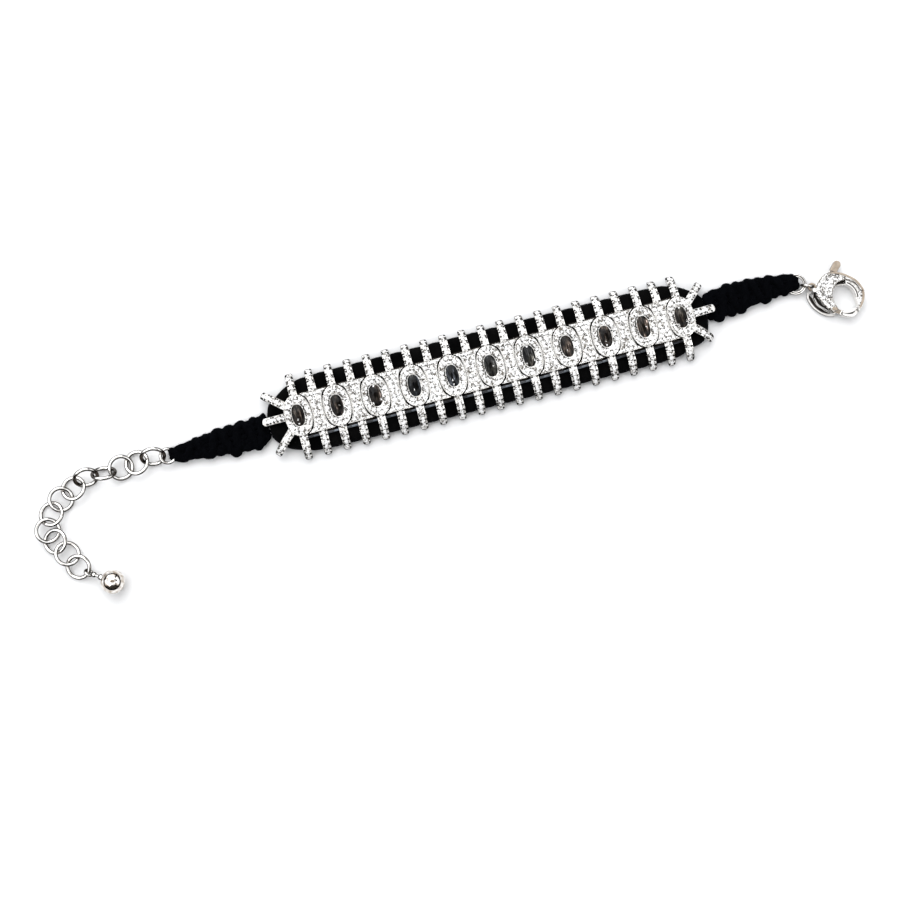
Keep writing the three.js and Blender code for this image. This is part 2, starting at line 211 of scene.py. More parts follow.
def from_points(name, points, faces):
    mesh = bpy.data.meshes.new(name)
    mesh.from_pydata(points, [], faces)
    piece = bpy.data.objects.new(name, mesh)
    bpy.context.collection.objects.link(piece)
    return piece


def smooth(piece):
    take(piece)
    bpy.ops.object.shade_smooth_by_angle(angle=math.radians(SHARP))


def combined(piece, operation, *others):
    """The piece with others welded to it or cut out of it, which uses them up."""
    for other in others:
        modified(piece, "BOOLEAN", operation=operation, object=other, solver="EXACT")
        discard(other)
    return true_faces(piece)


def true_faces(piece):
    """Smooth rounds that leave the flat faces flat."""
    smooth(piece)
    return modified(piece, "WEIGHTED_NORMAL", keep_sharp=True)


def painted(piece, *materials):
    piece.data.materials.clear()
    for material in materials:
        piece.data.materials.append(material)
    return piece


def mark_painted_shade(piece, bright=0.86):
    """Marks the sides that slope down from a piece's top for painted shade, which stands in
    for the dark surroundings such sides would mirror.

    Faces that look up more than the bright share stay unshaded.
    """
    mesh = piece.data
    # Painted shade: a share per corner, 1 on the shoulders, which the finish darkens.
    layer = mesh.attributes.new("painted_shade_mark", "FLOAT", "CORNER")
    for face in mesh.polygons:
        for corner in face.loop_indices:
            rise = face.normal.z if face.area > 0.2 else mesh.corner_normals[corner].vector.z
            upper = min(1.0, max(0.0, (bright - rise) / 0.24))
            lower = min(1.0, max(0.0, (rise + 0.2) / 0.25))
            layer.data[corner].value = upper * lower
    return piece


def finished(piece, name, node, body="bracelet"):
    """Brings a piece to metres, names it and ties it to the frame."""
    take(piece)
    placed()
    piece.scale = (MM, MM, MM)
    placed()
    piece.name = name
    piece.data.name = name
    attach(piece, body)
    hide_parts(node)
    return piece


def shift(x, y=0.0, z=0.0):
    return Matrix.Translation((x, y, z))


def turned(degrees, axis="Z"):
    return Matrix.Rotation(math.radians(degrees), 4, axis)


# ---------- finishes ----------


def set_inputs(node, inputs):
    for key, value in inputs.items():
        node.inputs[key.replace("_", " ")].default_value = value
    return node


def add_node(tree, kind, **inputs):
    return set_inputs(tree.nodes.new(kind), inputs)


def new_finish(name, **inputs):
    """A material, its node tree and its main shader."""
    material = bpy.data.materials.new(name)
    material.use_nodes = True
    tree = material.node_tree
    return material, tree, set_inputs(tree.nodes["Principled BSDF"], inputs)


def speckle(tree, scale, detail=3.0, roughness=0.5, stretch=(1.0, 1.0, 1.0)):
    """Noise over the surface, stretched along an axis where asked."""
    place = tree.nodes.new("ShaderNodeTexCoord")
    mapping = add_node(tree, "ShaderNodeMapping", Scale=stretch)
    tree.links.new(place.outputs["Object"], mapping.inputs["Vector"])
    texture = add_node(
        tree, "ShaderNodeTexNoise", Scale=scale, Detail=detail, Roughness=roughness
    )
    tree.links.new(mapping.outputs["Vector"], texture.inputs["Vector"])
    return texture.outputs["Fac"]


def shine_by(tree, shader, source, low, high):
    """Roughness that runs from low to high as the source rises."""
    span = add_node(
        tree, "ShaderNodeMapRange", From_Min=0.3, From_Max=0.7, To_Min=low, To_Max=high
    )
    tree.links.new(source, span.inputs["Value"])
    tree.links.new(span.outputs["Result"], shader.inputs["Roughness"])


def tints(tree, source, *stops):
    """Colours along a ramp: each stop is a place and a colour."""
    ramp = tree.nodes.new("ShaderNodeValToRGB")
    band = ramp.color_ramp
    while len(band.elements) < len(stops):
        band.elements.new(0.5)
    for element, (place, colour) in zip(band.elements, stops):
        element.position = place
        element.color = (*colour, 1)
    tree.links.new(source, ramp.inputs["Fac"])
    return ramp.outputs["Color"]


def coloured(tree, shader, source, *stops):
    tree.links.new(tints(tree, source, *stops), shader.inputs["Base Color"])


def colour_mix(tree, first, second=None):
    """A mix of two colours: a node whose factor, second colour and way are still to be set."""
    mix = tree.nodes.new("ShaderNodeMix")
    mix.data_type = "RGBA"
    tree.links.new(first, mix.inputs["A"])
    if second:
        mix.blend_type = "MULTIPLY"
        mix.inputs["Factor"].default_value = 1
        tree.links.new(second, mix.inputs["B"])
    return mix


def relief(tree, shader, height, strength, distance):
    bump = add_node(tree, "ShaderNodeBump", Strength=strength, Distance=distance)
    tree.links.new(height, bump.inputs["Height"])
    tree.links.new(bump.outputs["Normal"], shader.inputs["Normal"])


def metal_finish(name, light, dark, wear, dents, patch=900, metallic=1.0, shaded_shoulders=False):
    """White metal: light and dark tints in slow patches, fine wear in the shine, faint dents.

    It can also paint shade: darker colour where its piece is marked for shoulder shade.
    """
    material, tree, shader = new_finish(name, Metallic=metallic)
    coloured(tree, shader, speckle(tree, patch, detail=2), (0.35, dark), (0.65, light))
    shine_by(tree, shader, speckle(tree, 6000, detail=4, roughness=0.65), *wear)
    relief(tree, shader, speckle(tree, 2500), dents, 0.00004)
    if shaded_shoulders:
        blend = colour_mix(tree, shader.inputs["Base Color"].links[0].from_socket)
        mark = tree.nodes.new("ShaderNodeAttribute")
        mark.attribute_name = "painted_shade_mark"
        tree.links.new(mark.outputs["Fac"], blend.inputs["Factor"])
        # The painted shade colour, near black with a warm cast.
        blend.inputs["B"].default_value = (0.045, 0.037, 0.03, 1)
        tree.links.new(blend.outputs["Result"], shader.inputs["Base Color"])
    return material


def stone_finish(name, pale, deep, **inputs):
    """A facet of a white stone, in small patches painted a little lighter or darker: painted
    sparkle of highlight and shade.
    """
    material, tree, shader = new_finish(name, **inputs)
    place = tree.nodes.new("ShaderNodeTexCoord")
    facets = add_node(tree, "ShaderNodeTexVoronoi", Scale=2600)
    tree.links.new(place.outputs["Object"], facets.inputs["Vector"])
    coloured(tree, shader, facets.outputs["Color"], (0.25, deep), (0.38, pale))
    return material


def smoky_stone_finish():
    """Near black, with pale needles along the stone, warmer or cooler from stone to stone.
    The palest needles are painted glints.
    """
    material, tree, shader = new_finish("smoky_stone", IOR=1.45, Specular_IOR_Level=0.14)
    needles = speckle(tree, 620, detail=4, roughness=0.62, stretch=(2.4, 0.6, 1.0))
    # The top stop of this ramp paints glints: painted highlights.
    pale = tints(
        tree, needles, (0.38, (0.001, 0.001, 0.001)), (0.50, (0.010, 0.010, 0.0095)),
        (0.58, (0.040, 0.039, 0.037)), (0.66, (0.15, 0.145, 0.14)), (0.72, (0.85, 0.85, 0.85)),
    )
    warmth = tints(
        tree, speckle(tree, 85, detail=0), (0.36, (0.72, 0.82, 1.0)),
        (0.48, (0.98, 0.95, 0.84)), (0.6, (1.0, 0.80, 0.70)),
    )
    tone = colour_mix(tree, pale, warmth)
    tree.links.new(tone.outputs["Result"], shader.inputs["Base Color"])
    shine_by(tree, shader, needles, 0.04, 0.14)
    relief(tree, shader, needles, 0.2, 0.00008)
    return material


def cloth_finish(name, nap, crush, stops, dents, **inputs):
    """Near black cloth with a rough nap, its tint drifting with the crush or with the nap."""
    material, tree, shader = new_finish(name, **inputs)
    pile = speckle(tree, *nap)
    coloured(tree, shader, speckle(tree, *crush) if crush else pile, *stops)
    relief(tree, shader, pile, *dents)
    return material


WHITE_GOLD = (0.90, 0.885, 0.86), (0.80, 0.78, 0.75), (0.05, 0.16)
polished = metal_finish("polished_white_metal", *WHITE_GOLD, 0.10)
# Polished metal with painted shade on the shoulders that slope away from its top.
shaded_metal = metal_finish(
    "polished_metal_with_painted_shoulder_shade", *WHITE_GOLD, 0.04, shaded_shoulders=True
)
seat_metal = metal_finish(
    "stone_seat_metal", (0.96, 0.955, 0.945), (0.50, 0.48, 0.45), (0.35, 0.55), 0.30, 1500, 0.2
)
# Painted shade: near-black metal put in grooves, gaps, pits and recesses that lie in shade.
groove_shade_metal = metal_finish(
    "painted_shade_in_grooves", (0.05, 0.045, 0.04), (0.02, 0.018, 0.016), (0.5, 0.7), 0.30
)
# Painted reflection: a warm tan that stands in for warm light mirrored by flat tops and bands.
warm_reflection_metal = metal_finish(
    "painted_warm_reflection", (0.45, 0.375, 0.30), (0.32, 0.265, 0.21), (0.3, 0.45), 0.06, 1200, 0.5,
    shaded_shoulders=True,
)
pale_metal = metal_finish(
    "pale_polished_metal", (0.96, 0.95, 0.935), (0.78, 0.765, 0.745), (0.12, 0.25), 0.05, 1400,
    0.3, shaded_shoulders=True,
)
# Painted reflection: the ball's pale and dark warm patches stand in for the studio it mirrors.
ball_metal = metal_finish(
    "ball_with_painted_reflections", (0.95, 0.93, 0.90), (0.40, 0.335, 0.27), (0.05, 0.14), 0.12, 1000
)
# Painted light and shade: dark for the shade under the plates' edges, with slow patches of
# painted highlight.
rail_metal = metal_finish(
    "rail_with_painted_light_and_shade", (0.11, 0.12, 0.135), (0.012, 0.012, 0.014), (0.15, 0.3), 0.25, 130
)
bead_metal = metal_finish(
    "bead_metal", (0.92, 0.91, 0.89), (0.82, 0.80, 0.77), (0.08, 0.2), 0.05
)
# What a plate is made of: its body, the seat of its stones, its rail and the painted shade of its
# grooves.
METALS = (polished, seat_metal, rail_metal, groove_shade_metal)
BODY, SEAT, RAIL, GROOVE_SHADE = range(4)
clear_stone = stone_finish(
    "clear_stone", (1.0, 1.0, 1.0), (0.16, 0.145, 0.125),
    Roughness=0.06, IOR=1.9, Transmission_Weight=0.1,
)
# Painted shade: a near-black facet for the stones' shaded sides.
painted_shade_facet = stone_finish(
    "painted_shade_facet", (0.03, 0.025, 0.02), (0.015, 0.012, 0.01),
    Roughness=0.5, IOR=1.3, Transmission_Weight=0,
)
smoky_stone = smoky_stone_finish()
velvet = cloth_finish(
    "black_velvet", (9000, 6, 0.8), (260, 3),
    [(0.35, (0.0001, 0.0001, 0.0002)), (0.65, (0.0026, 0.0024, 0.0024))], (0.9, 0.00015),
    Roughness=0.95, Specular_IOR_Level=0.05, Sheen_Weight=0.012, Sheen_Roughness=0.45,
    Sheen_Tint=(0.45, 0.5, 0.75, 1),
)
cord_black = cloth_finish(
    "black_knotted_cord", (7000, 5, 0.75), None,
    [(0.4, (0.0, 0.0, 0.0001)), (0.7, (0.0032, 0.0036, 0.0050))], (0.8, 0.0001),
    Roughness=0.85, Specular_IOR_Level=0.015, Sheen_Weight=0.008, Sheen_Roughness=0.5,
    Sheen_Tint=(0.5, 0.55, 0.85, 1),
)

# ---------- outlines ----------


def oval_outline(half_x, half_y, corners=64, fullness=OVAL_FULLNESS):
    """Evenly spaced points round a full oval, squarer than an ellipse, from the +X side."""
    fine, run = [], [0.0]
    for k in range(2001):
        c, s = math.cos(TURN * k / 2000), math.sin(TURN * k / 2000)
        x, y = (math.copysign(abs(part) ** (2 / fullness), part) for part in (c, s))
        fine.append((half_x * x, half_y * y))
    for a, b in zip(fine, fine[1:]):
        run.append(run[-1] + math.dist(a, b))
    points, at = [], 0
    for k in range(corners):
        while run[at] < run[-1] * k / corners:
            at += 1
        points.append(fine[at])
    return points


def slab(outline, low, high):
    """A flat slab with an outline that runs anticlockwise, from a cylinder."""
    count = len(outline)
    piece = cylinder(count, 1, low, high)
    for vertex in piece.data.vertices:
        turn = math.atan2(vertex.co.y, vertex.co.x) % TURN
        vertex.co.xy = outline[round(turn / TURN * count - count / 4) % count]
    return piece


def between(a, b, slope_a, slope_b, t):
    """The value at share t of a smooth curve from a to b, with these slopes at its ends."""
    return (
        (2 * t**3 - 3 * t**2 + 1) * a
        + (t**3 - 2 * t**2 + t) * slope_a
        + (3 * t**2 - 2 * t**3) * b
        + (t**3 - t**2) * slope_b
    )


def away_from(points, loop):
    """How far each point is from a closed outline."""
    starts = np.array(loop)
    runs = np.roll(starts, -1, axis=0) - starts
    to_point = points[:, None, :] - starts[None, :, :]
    share = (to_point * runs).sum(-1) / (runs * runs).sum(-1)
    nearest = to_point - np.clip(share, 0, 1)[..., None] * runs
    return np.sqrt((nearest * nearest).sum(-1)).min(1)


def within(points, loop):
    """Whether each point is inside a closed outline."""
    starts = np.array(loop)
    ends = np.roll(starts, -1, axis=0)
    x, y = points[:, 0:1], points[:, 1:2]
    spans = (starts[:, 1] > y) != (ends[:, 1] > y)
    rise = np.where(ends[:, 1] == starts[:, 1], 1e-9, ends[:, 1] - starts[:, 1])
    crossing = starts[:, 0] + (y - starts[:, 1]) * (ends[:, 0] - starts[:, 0]) / rise
    return (spans & (x < crossing)).sum(1) % 2 == 1


# ---------- small stones and the beads that hold them ----------


def cut_stone(shaded_sides):
    """A round brilliant one across, with its girdle at the height of the metal.

    Facets towards the shaded sides, given in degrees, are painted dark: painted shade for
    facets that would mirror something dark.
    """
    stone = cylinder(8, 0.5, -0.03, 0.03)
    edit(stone, facing_up)
    taper(0.08, 0.7)
    twist(22.5)
    pick(stone, facing_down)
    taper(-0.36, 0.12)
    cut_to_triangles(stone, "FIXED")
    painted(stone, clear_stone, painted_shade_facet)
    for face in stone.data.polygons:
        if 0.2 < face.normal.z < 0.98:
            way = math.degrees(math.atan2(face.center.y, face.center.x)) % 360
            face.material_index = int(any(abs(way - side) < 26 for side in shaded_sides))
    return stone


def round_bead():
    """A pushed-up bead of metal, one across, with a wide foot."""
    bpy.ops.mesh.primitive_ico_sphere_add(subdivisions=2, radius=0.5)
    bead = bpy.context.object
    edit(bead, lambda middle, normal: middle.z < -0.2)
    grow(1.15, 1.15)
    done()
    bpy.ops.object.shade_smooth()
    return painted(bead, bead_metal)


def drilled_pit():
    """A drilled hollow between stones, one across, with a sunk middle, painted dark as painted
    shade.
    """
    return painted(sunk(cylinder(7, 0.5, -0.25, 0.25), 0.12, 0.3), groove_shade_metal)


STONES = [cut_stone(sides) for sides in ((40,), (50, 200), (90, 300), (0,))]
BEAD = round_bead()
PIT = drilled_pit()
# How many of the gaps hold a drilled hollow and not a bead: south ribs, plates, north ribs.
PIT_SHARE = (0.72, 0.7, 0.88)
PIT_SIZE = 1.25
EDGE_OF_PLATE = 0.3
BEAD_GRID = 0.06
LEAST_BEAD = 0.09
BEAD_OVER_EDGE = 0.05


def lying(x, y, z, tip=0.0, size=1.0):
    """Where a small thing sits: its place, and its axis tipped towards +Y."""
    return shift(x, y, z) @ turned(-tip, "X") @ Matrix.Scale(size, 4)


def set_with(stones, beads, chance, edge):
    """Copies of the stone and the bead at these places, joined into one piece.

    Pits are drilled between the stones, but not along the edge of a plate.
    """
    pieces = []
    spots = np.array([(place[0][3], place[1][3]) for place in beads])
    by_edge = (away_from(spots, edge) < EDGE_OF_PLATE) & within(spots, edge)
    for place in stones:
        spin = Matrix.Rotation(chance.uniform(0, TURN), 4, "Z")
        tip = Matrix.Rotation(chance.gauss(0, 0.05), 4, "X")
        pieces.append(copied(chance.choice(STONES), place @ spin @ tip))
    for place, rimmed in zip(beads, by_edge):
        side = 1 + math.copysign(abs(place[1][3]) > BAR_HALF_Y, place[1][3])
        if chance.random() < PIT_SHARE[int(side)] and not rimmed:
            pieces.append(copied(PIT, place @ Matrix.Scale(PIT_SIZE, 4)))
        else:
            pieces.append(copied(BEAD, place))
    return joined(pieces)


def bead_places(stones, outer, hole=None, most=0.15):
    """Beads for the gaps between stones: x, y and radius, the widest gaps first."""
    low, high = np.min(outer, axis=0), np.max(outer, axis=0)
    grid = np.mgrid[low[0] : high[0] : BEAD_GRID, low[1] : high[1] : BEAD_GRID]
    spots = grid.reshape(2, -1).T
    spots = spots[within(spots, outer)]
    room = away_from(spots, outer) + BEAD_OVER_EDGE
    if hole:
        outside = ~within(spots, hole)
        spots, room = spots[outside], room[outside]
        room = np.minimum(room, away_from(spots, hole) + BEAD_OVER_EDGE)

    def keep_off(x, y, radius):
        return np.minimum(room, np.hypot(spots[:, 0] - x, spots[:, 1] - y) - radius)

    for x, y, size in stones:
        room = keep_off(x, y, size / 2)
    beads = []
    while room.max() > LEAST_BEAD:
        at = int(room.argmax())
        x, y, radius = *spots[at], min(most, room[at])
        beads.append((float(x), float(y), float(radius)))
        room = keep_off(x, y, radius)
    return beads


# ---------- ribs ----------

# Out from the plate's edge, the height of the middle, the forward tip in degrees, half width.
RIB_RUN = [
    (-0.6, 3.22, 0, 0.87), (0.9, 3.22, 3, 0.87), (2.0, 3.08, 13, 0.87), (2.9, 2.8, 25, 0.87),
    (3.6, 2.36, 38, 0.87), (4.15, 1.8, 50, 0.86), (4.46, 1.28, 60, 0.8), (4.62, 0.95, 66, 0.66),
    (4.7, 0.74, 70, 0.45),
]
RIB_REACH = 5.1
RIB_THICK = 0.9
RIB_STONES = 5
RIB_CHANNEL = 0.09
TIP_BEAD = 0.27
SIDE_BEAD = 0.34


def rib_run(length, fall):
    """The rib's stations for a shorter or a flatter rib."""
    stretch = length / RIB_REACH
    top = RIB_RUN[0][1]
    return [
        (out * stretch, top - (top - height) * fall, tip * fall, half)
        for out, height, tip, half in RIB_RUN
    ]


def rib_bar(run):
    """A bar towards +Y, pulled out station by station, with a shallow channel on top."""
    out, height, tip, half = run[0]
    bar = painted(block((0, out - 0.1, height), (2 * half, 0.2, RIB_THICK)), *METALS)
    edit(bar, lambda middle, normal: normal.y > 0.9)
    for before, after in zip(run, run[1:]):
        pull(after[1] - before[1], after[0] - before[0])
        twist(after[2] - before[2], "X", (0, after[0], after[1]))
        grow(after[3] / before[3])
    last = math.radians(run[-1][2])
    pull(-0.16 * math.sin(last), 0.16 * math.cos(last))
    grow(0.7, 0.8, 0.8)
    pick(bar, lambda middle, normal: normal.z + 0.6 * normal.y > 0.55 and middle.y > 0)
    bpy.ops.mesh.inset(thickness=RIB_CHANNEL, depth=-RIB_CHANNEL)
    bar.active_material_index = SEAT
    bpy.ops.object.material_slot_assign()
    done()
    # Painted shade: the outer end of the rib, outside its channel, is painted dark.
    for face in bar.data.polygons:
        if face.center.y > run[-4][0] and face.material_index == BODY:
            face.material_index = GROOVE_SHADE
    return bar


def rib_setting(run):
    """Places for the row of stones along a rib, and for the beads on both sides of it."""
    line = [(0.0, run[0][1], 0.0)] + [station[:3] for station in run if station[0] > 0]
    reach = [0.0]
    for a, b in zip(line, line[1:]):
        reach.append(reach[-1] + math.dist(a[:2], b[:2]))
    step = (reach[-1] - 0.75) / RIB_STONES

    def at(steps):
        distance = 0.02 + step * steps
        k = max(i for i in range(len(line) - 1) if reach[i] <= distance)
        share = (distance - reach[k]) / (reach[k + 1] - reach[k])
        out, height, tip = (a + (b - a) * share for a, b in zip(line[k], line[k + 1]))
        rise = RIB_THICK / 2 - 0.03
        lean = math.radians(tip)
        return out + rise * math.sin(lean), height + rise * math.cos(lean), tip

    stones, beads = [], []
    for k in range(RIB_STONES):
        out, height, tip = at(k + 0.5)
        stones.append(lying(0, out, height, tip))
        side = 0.64 if k % 2 else -0.64
        beads.append(lying(side, out + 0.1, height - 0.03, tip, TIP_BEAD))
    for k in range(RIB_STONES + 1):
        out, height, tip = at(k)
        beads += [lying(side, out, height - 0.03, tip, SIDE_BEAD) for side in (-0.56, 0.56)]
    return stones, beads


def rib_at(x, y, heading, length=RIB_REACH, fall=1.0):
    """A rib's bar, stones and beads, leaving a plate at (x, y) on a heading."""
    way = shift(x, y) @ turned(heading - 90)
    run = rib_run(length, fall)
    bar = rib_bar(run)
    bar.data.transform(way)
    return bar, *([way @ place for place in places] for places in rib_setting(run))


# ---------- plates ----------

RING_STONES = 16
OVAL_RING = (2.29, 3.2)
OVAL_EXTRA = [(0.48, 4.03, 0.94), (1.36, 3.66, 0.84), (1.97, 3.12, 0.74)]
COLLET = (1.49, 2.6)


def plate(foot, outline, left, right):
    """A thin foot, the plate with its rim round the sunk seat, and a rail along both sides."""
    base = slab(foot, PLATE_LOW, PLATE_LOW + 0.2)
    body = sunk(slab(outline, PLATE_LOW + 0.1, PLATE_TOP), 0.06, 0.14)
    rails = [
        block(
            ((left + right) / 2, y, (PLATE_LOW + RAIL_TOP) / 2),
            (right - left, width, RAIL_TOP - PLATE_LOW),
        )
        for y, width in ((-BAR_HALF_Y - 0.5, 0.46), (BAR_HALF_Y + 0.14, 0.16))
    ]
    return painted(joined([base, body, *rails]), *METALS)


def collet():
    """The thin wall round the dark stone."""
    ring = slab(oval_outline(*COLLET, 48, STONE_FULLNESS), 3.3, 3.62)
    return painted(sunk(ring, 0.05, 0.35), *METALS)


def seat_painted(piece):
    """Seat metal at the bottom of the seat, and painted shade in dark metal on the walls that
    face a gap, on the foot low in the gaps, round the collet and on the north rail.
    """
    for face in piece.data.polygons:
        x, y, z = face.center
        side, low = abs(y), z < PLATE_TOP - 0.02
        if face.normal.z > 0.5 and z < PLATE_TOP - 0.1 and side < BAR_HALF_Y:
            face.material_index = SEAT if z > PLATE_LOW + 0.5 else GROOVE_SHADE
        on_wall = side < BAR_HALF_Y + 0.02 and abs(face.normal.z) < 0.5
        by_stone = (x / COLLET[0]) ** 2 + (y / COLLET[1]) ** 2 < 1.04 and z > 3.2
        if low and (on_wall or by_stone and face.area < 0.5):
            face.material_index = GROOVE_SHADE
        # The south rail gets its own finish of painted light and shade; the north rail is painted
        # dark as painted shade.
        if BAR_HALF_Y < side < BAR_HALF_Y + 0.8 and z < RAIL_TOP + 0.01:
            face.material_index = RAIL if y < 0 else GROOVE_SHADE
    return piece


def ribbed(stones, inner, hole, fans, pieces, chance, outline):
    """A plate with its ribs let into it and every edge broken, and all its small stones."""
    seats = [lying(x, y, PLATE_TOP - 0.06, size=size) for x, y, size in stones]
    beads = [
        lying(x, y, PLATE_TOP - 0.12, size=1.9 * radius)
        for x, y, radius in bead_places(stones, inner, hole)
    ]
    bars = []
    for rib in [(0, BAR_HALF_Y, 90), (0, -BAR_HALF_Y, -90), *fans]:
        bar, more_stones, more_beads = rib_at(*rib)
        bars.append(bar)
        seats += more_stones
        beads += more_beads
    piece = joined([*pieces, *bars])
    broken_edges(piece, 0.03, 2, SHARP)
    smooth(piece)
    return seat_painted(piece), set_with(seats, beads, chance, outline)


def oval_link(fans, chance, left=-2.0, right=2.0):
    """An oval plate with its ribs, pave stones and collet."""
    rings = oval_outline(*OVAL_RING, RING_STONES, STONE_FULLNESS)
    stones = [(x, y, 1.04) for x, y in rings]
    for x, y, size in OVAL_EXTRA:
        stones += [(sx * x, sy * y, size) for sx in (-1, 1) for sy in (-1, 1)]
    inner = oval_outline(OVAL_HALF[0] - 0.06, OVAL_HALF[1] - 0.06)
    foot = oval_outline(OVAL_HALF[0] - 0.1, OVAL_HALF[1] + RAIL_WIDTH - 0.1)
    outline = oval_outline(*OVAL_HALF)
    hole = oval_outline(*COLLET, 64, STONE_FULLNESS)
    pieces = plate(foot, outline, left, right), collet()
    return ribbed(stones, inner, hole, fans, pieces, chance, outline)


def bar_outline(grow_y, inset=0.0):
    """The hollow-sided bar: close to the ovals at the middle, further off at its corners."""
    half_y = BAR_HALF_Y + grow_y - inset
    side = []
    for k in range(26):
        step = -1 + 2 * k / 25
        share = min(1.0, abs(step) * BAR_HALF_Y / (OVAL_HALF[1] + 0.3))
        gap = 0.07 + 1.15 * share**3 + inset
        clear = (OVAL_HALF[0] + gap) * (1 - share**OVAL_FULLNESS) ** (1 / OVAL_FULLNESS)
        side.append((min(PITCH / 2 - clear, 3.1), step * half_y))
    loop = side + [(-x, -y) for x, y in side]
    return loop[13:] + loop[:13]


BAR_ROWS = [
    (0.0, [0.52], 1.0), (1.0, [0.52], 1.0), (2.0, [0.53], 1.0), (2.98, [0.0, 0.98], 0.97),
    (3.98, [0.49, 1.45], 0.96), (4.22, [2.2], 0.62),
]


def bar_link(chance):
    """A hollow-sided bar plate with its ribs and pave stones."""
    stones = []
    for y, xs, size in BAR_ROWS:
        for x in xs:
            for sx in {-1 if x else 1, 1}:
                for sy in {-1 if y else 1, 1}:
                    stones.append((sx * x, sy * y, size))
    outline = bar_outline(-0.15)
    inner = bar_outline(-0.15, 0.06)
    pieces = (plate(bar_outline(RAIL_WIDTH - 0.1), outline, -2.36, 2.36),)
    return ribbed(stones, inner, None, [], pieces, chance, outline)


# The share of a dark stone's facets painted bright as painted glints.
PAINTED_GLINTS = 0.008


def dark_stone():
    """An oval stone with a low dome of small flat facets."""
    stone = cylinder(16, 1, 3.57, 3.67)
    edit(stone, facing_up)
    for rise, share in ((0.16, 0.9), (0.17, 0.8), (0.12, 0.7), (0.07, 0.55), (0.03, 0.3)):
        taper(rise, share)
        twist(11.25)
    bpy.ops.mesh.merge(type="CENTER")
    done()
    edit(stone, facing_down)
    taper(-0.5, 0.45)
    cut_to_triangles(stone, "SHORTEST_DIAGONAL")
    painted(stone, smoky_stone, clear_stone)
    for vertex in stone.data.vertices:
        turn = math.atan2(vertex.co.y, vertex.co.x)
        full = abs(math.cos(turn)) ** 2.5 + abs(math.sin(turn)) ** 2.5
        vertex.co.x *= STONE_HALF[0] / full**0.4
        vertex.co.y *= STONE_HALF[1] / full**0.4
    # Painted highlights: a few upward facets take the white stone finish as painted glints.
    for face in sorted(stone.data.polygons, key=lambda face: face.center.to_tuple(4)):
        face.material_index = int(face.normal.z > 0.2 and chance.random() < PAINTED_GLINTS)
    return stone


# Ribs that fan out at the panel's ends: place, heading, length and fall.
FAN_LEFT = [
    (-2.7, 2.95, 139, 5.7, 0.85), (-3.05, 0.3, 180, 5.2, 0.1), (-2.35, -3.2, 224, 5.9, 0.85)
]
FAN_RIGHT = [
    (2.25, 2.85, 43, 5.6, 0.85), (3.05, 0.1, 2, 5.1, 0.1), (2.1, -2.8, -43, 5.35, 0.9)
]


def laid(piece, x, number, name, node):
    """A copy of a piece, at its place along the panel."""
    finished(copied(piece, shift(x)), f"{name}_{number:02d}", f"{node}_{number:02d}")


chance = random.Random(7)
first = oval_link(FAN_LEFT, chance, 0.0, 2.0)
last = oval_link(FAN_RIGHT, chance, -2.0, 0.0)
plain = oval_link([], chance)
bar = bar_link(chance)
stones = [dark_stone() for _ in range(4)]

for number in range(1, OVALS + 1):
    x = (number - (OVALS + 1) / 2) * PITCH + chance.uniform(-0.06, 0.06)
    metal, setting = {1: first, OVALS: last}.get(number, plain)
    laid(metal, x, number, "oval_plate", "oval_link")
    laid(setting, x, number, "oval_pave", "oval_link")
    laid(stones[(number - 1) % 4], x, number, "smoky_stone", "oval_stone")

for number in range(1, OVALS):
    for piece, name in zip(bar, ("bar_plate", "bar_pave")):
        laid(piece, (number - OVALS / 2) * PITCH, number, name, "bar_link")

discard(*first, *last, *plain, *bar, *stones)

# ---------- soft band ----------

# Along the band: x, north edge, south edge and thickness.
BAND_STATIONS = [
    (-50.8, 1.9, -2.9, 1.6), (-50.1, 3.9, -4.1, 1.95), (-47.8, 5.6, -6.2, 2.1),
    (-45.2, 7.2, -7.25, 2.1), (-42, 8.1, -8.1, 2.1), (-36, 8.4, -8.4, 2.1),
    (36, 8.4, -8.4, 2.1), (42, 8.1, -8, 2.1), (45.2, 7.1, -6.9, 2.1),
    (47.6, 5.7, -6.3, 2.1), (49.3, 4.4, -4.6, 1.95), (50.1, 3.4, -2.3, 1.6),
]
BAND_STEPS = 300
BAND_TAPERS = 45.5
# A quarter of the band's section: in from the edge, and up in shares of the thickness.
BAND_EDGE = [
    (0.75, 0.0), (0.4, 0.02), (0.12, 0.14), (0.0, 0.34), (0.05, 0.55), (0.22, 0.74),
    (0.5, 0.88), (0.9, 0.96), (1.5, 0.99), (2.4, 1.0), (3.6, 1.0),
]


def eased(table, x):
    """The table's row at x, on a smooth curve through its rows."""
    k = sum(row[0] <= x for row in table[1:-1])
    before, a, b, after = (table[max(0, min(len(table) - 1, k + j))] for j in (-1, 0, 1, 2))
    run = b[0] - a[0]
    t = min(1.0, max(0.0, (x - a[0]) / run))
    row = []
    for j in range(1, len(a)):
        slope_a = run * (b[j] - before[j]) / (b[0] - before[0])
        slope_b = run * (after[j] - a[j]) / (after[0] - a[0])
        row.append(between(a[j], b[j], slope_a, slope_b, t))
    return row


def rib_squeeze(x):
    """1 where a rib clamps the band, 0 midway between two ribs."""
    if abs(x) > BAND_TAPERS:
        return 0.3
    return 0.5 + 0.5 * math.cos(TURN * x / (PITCH / 2))


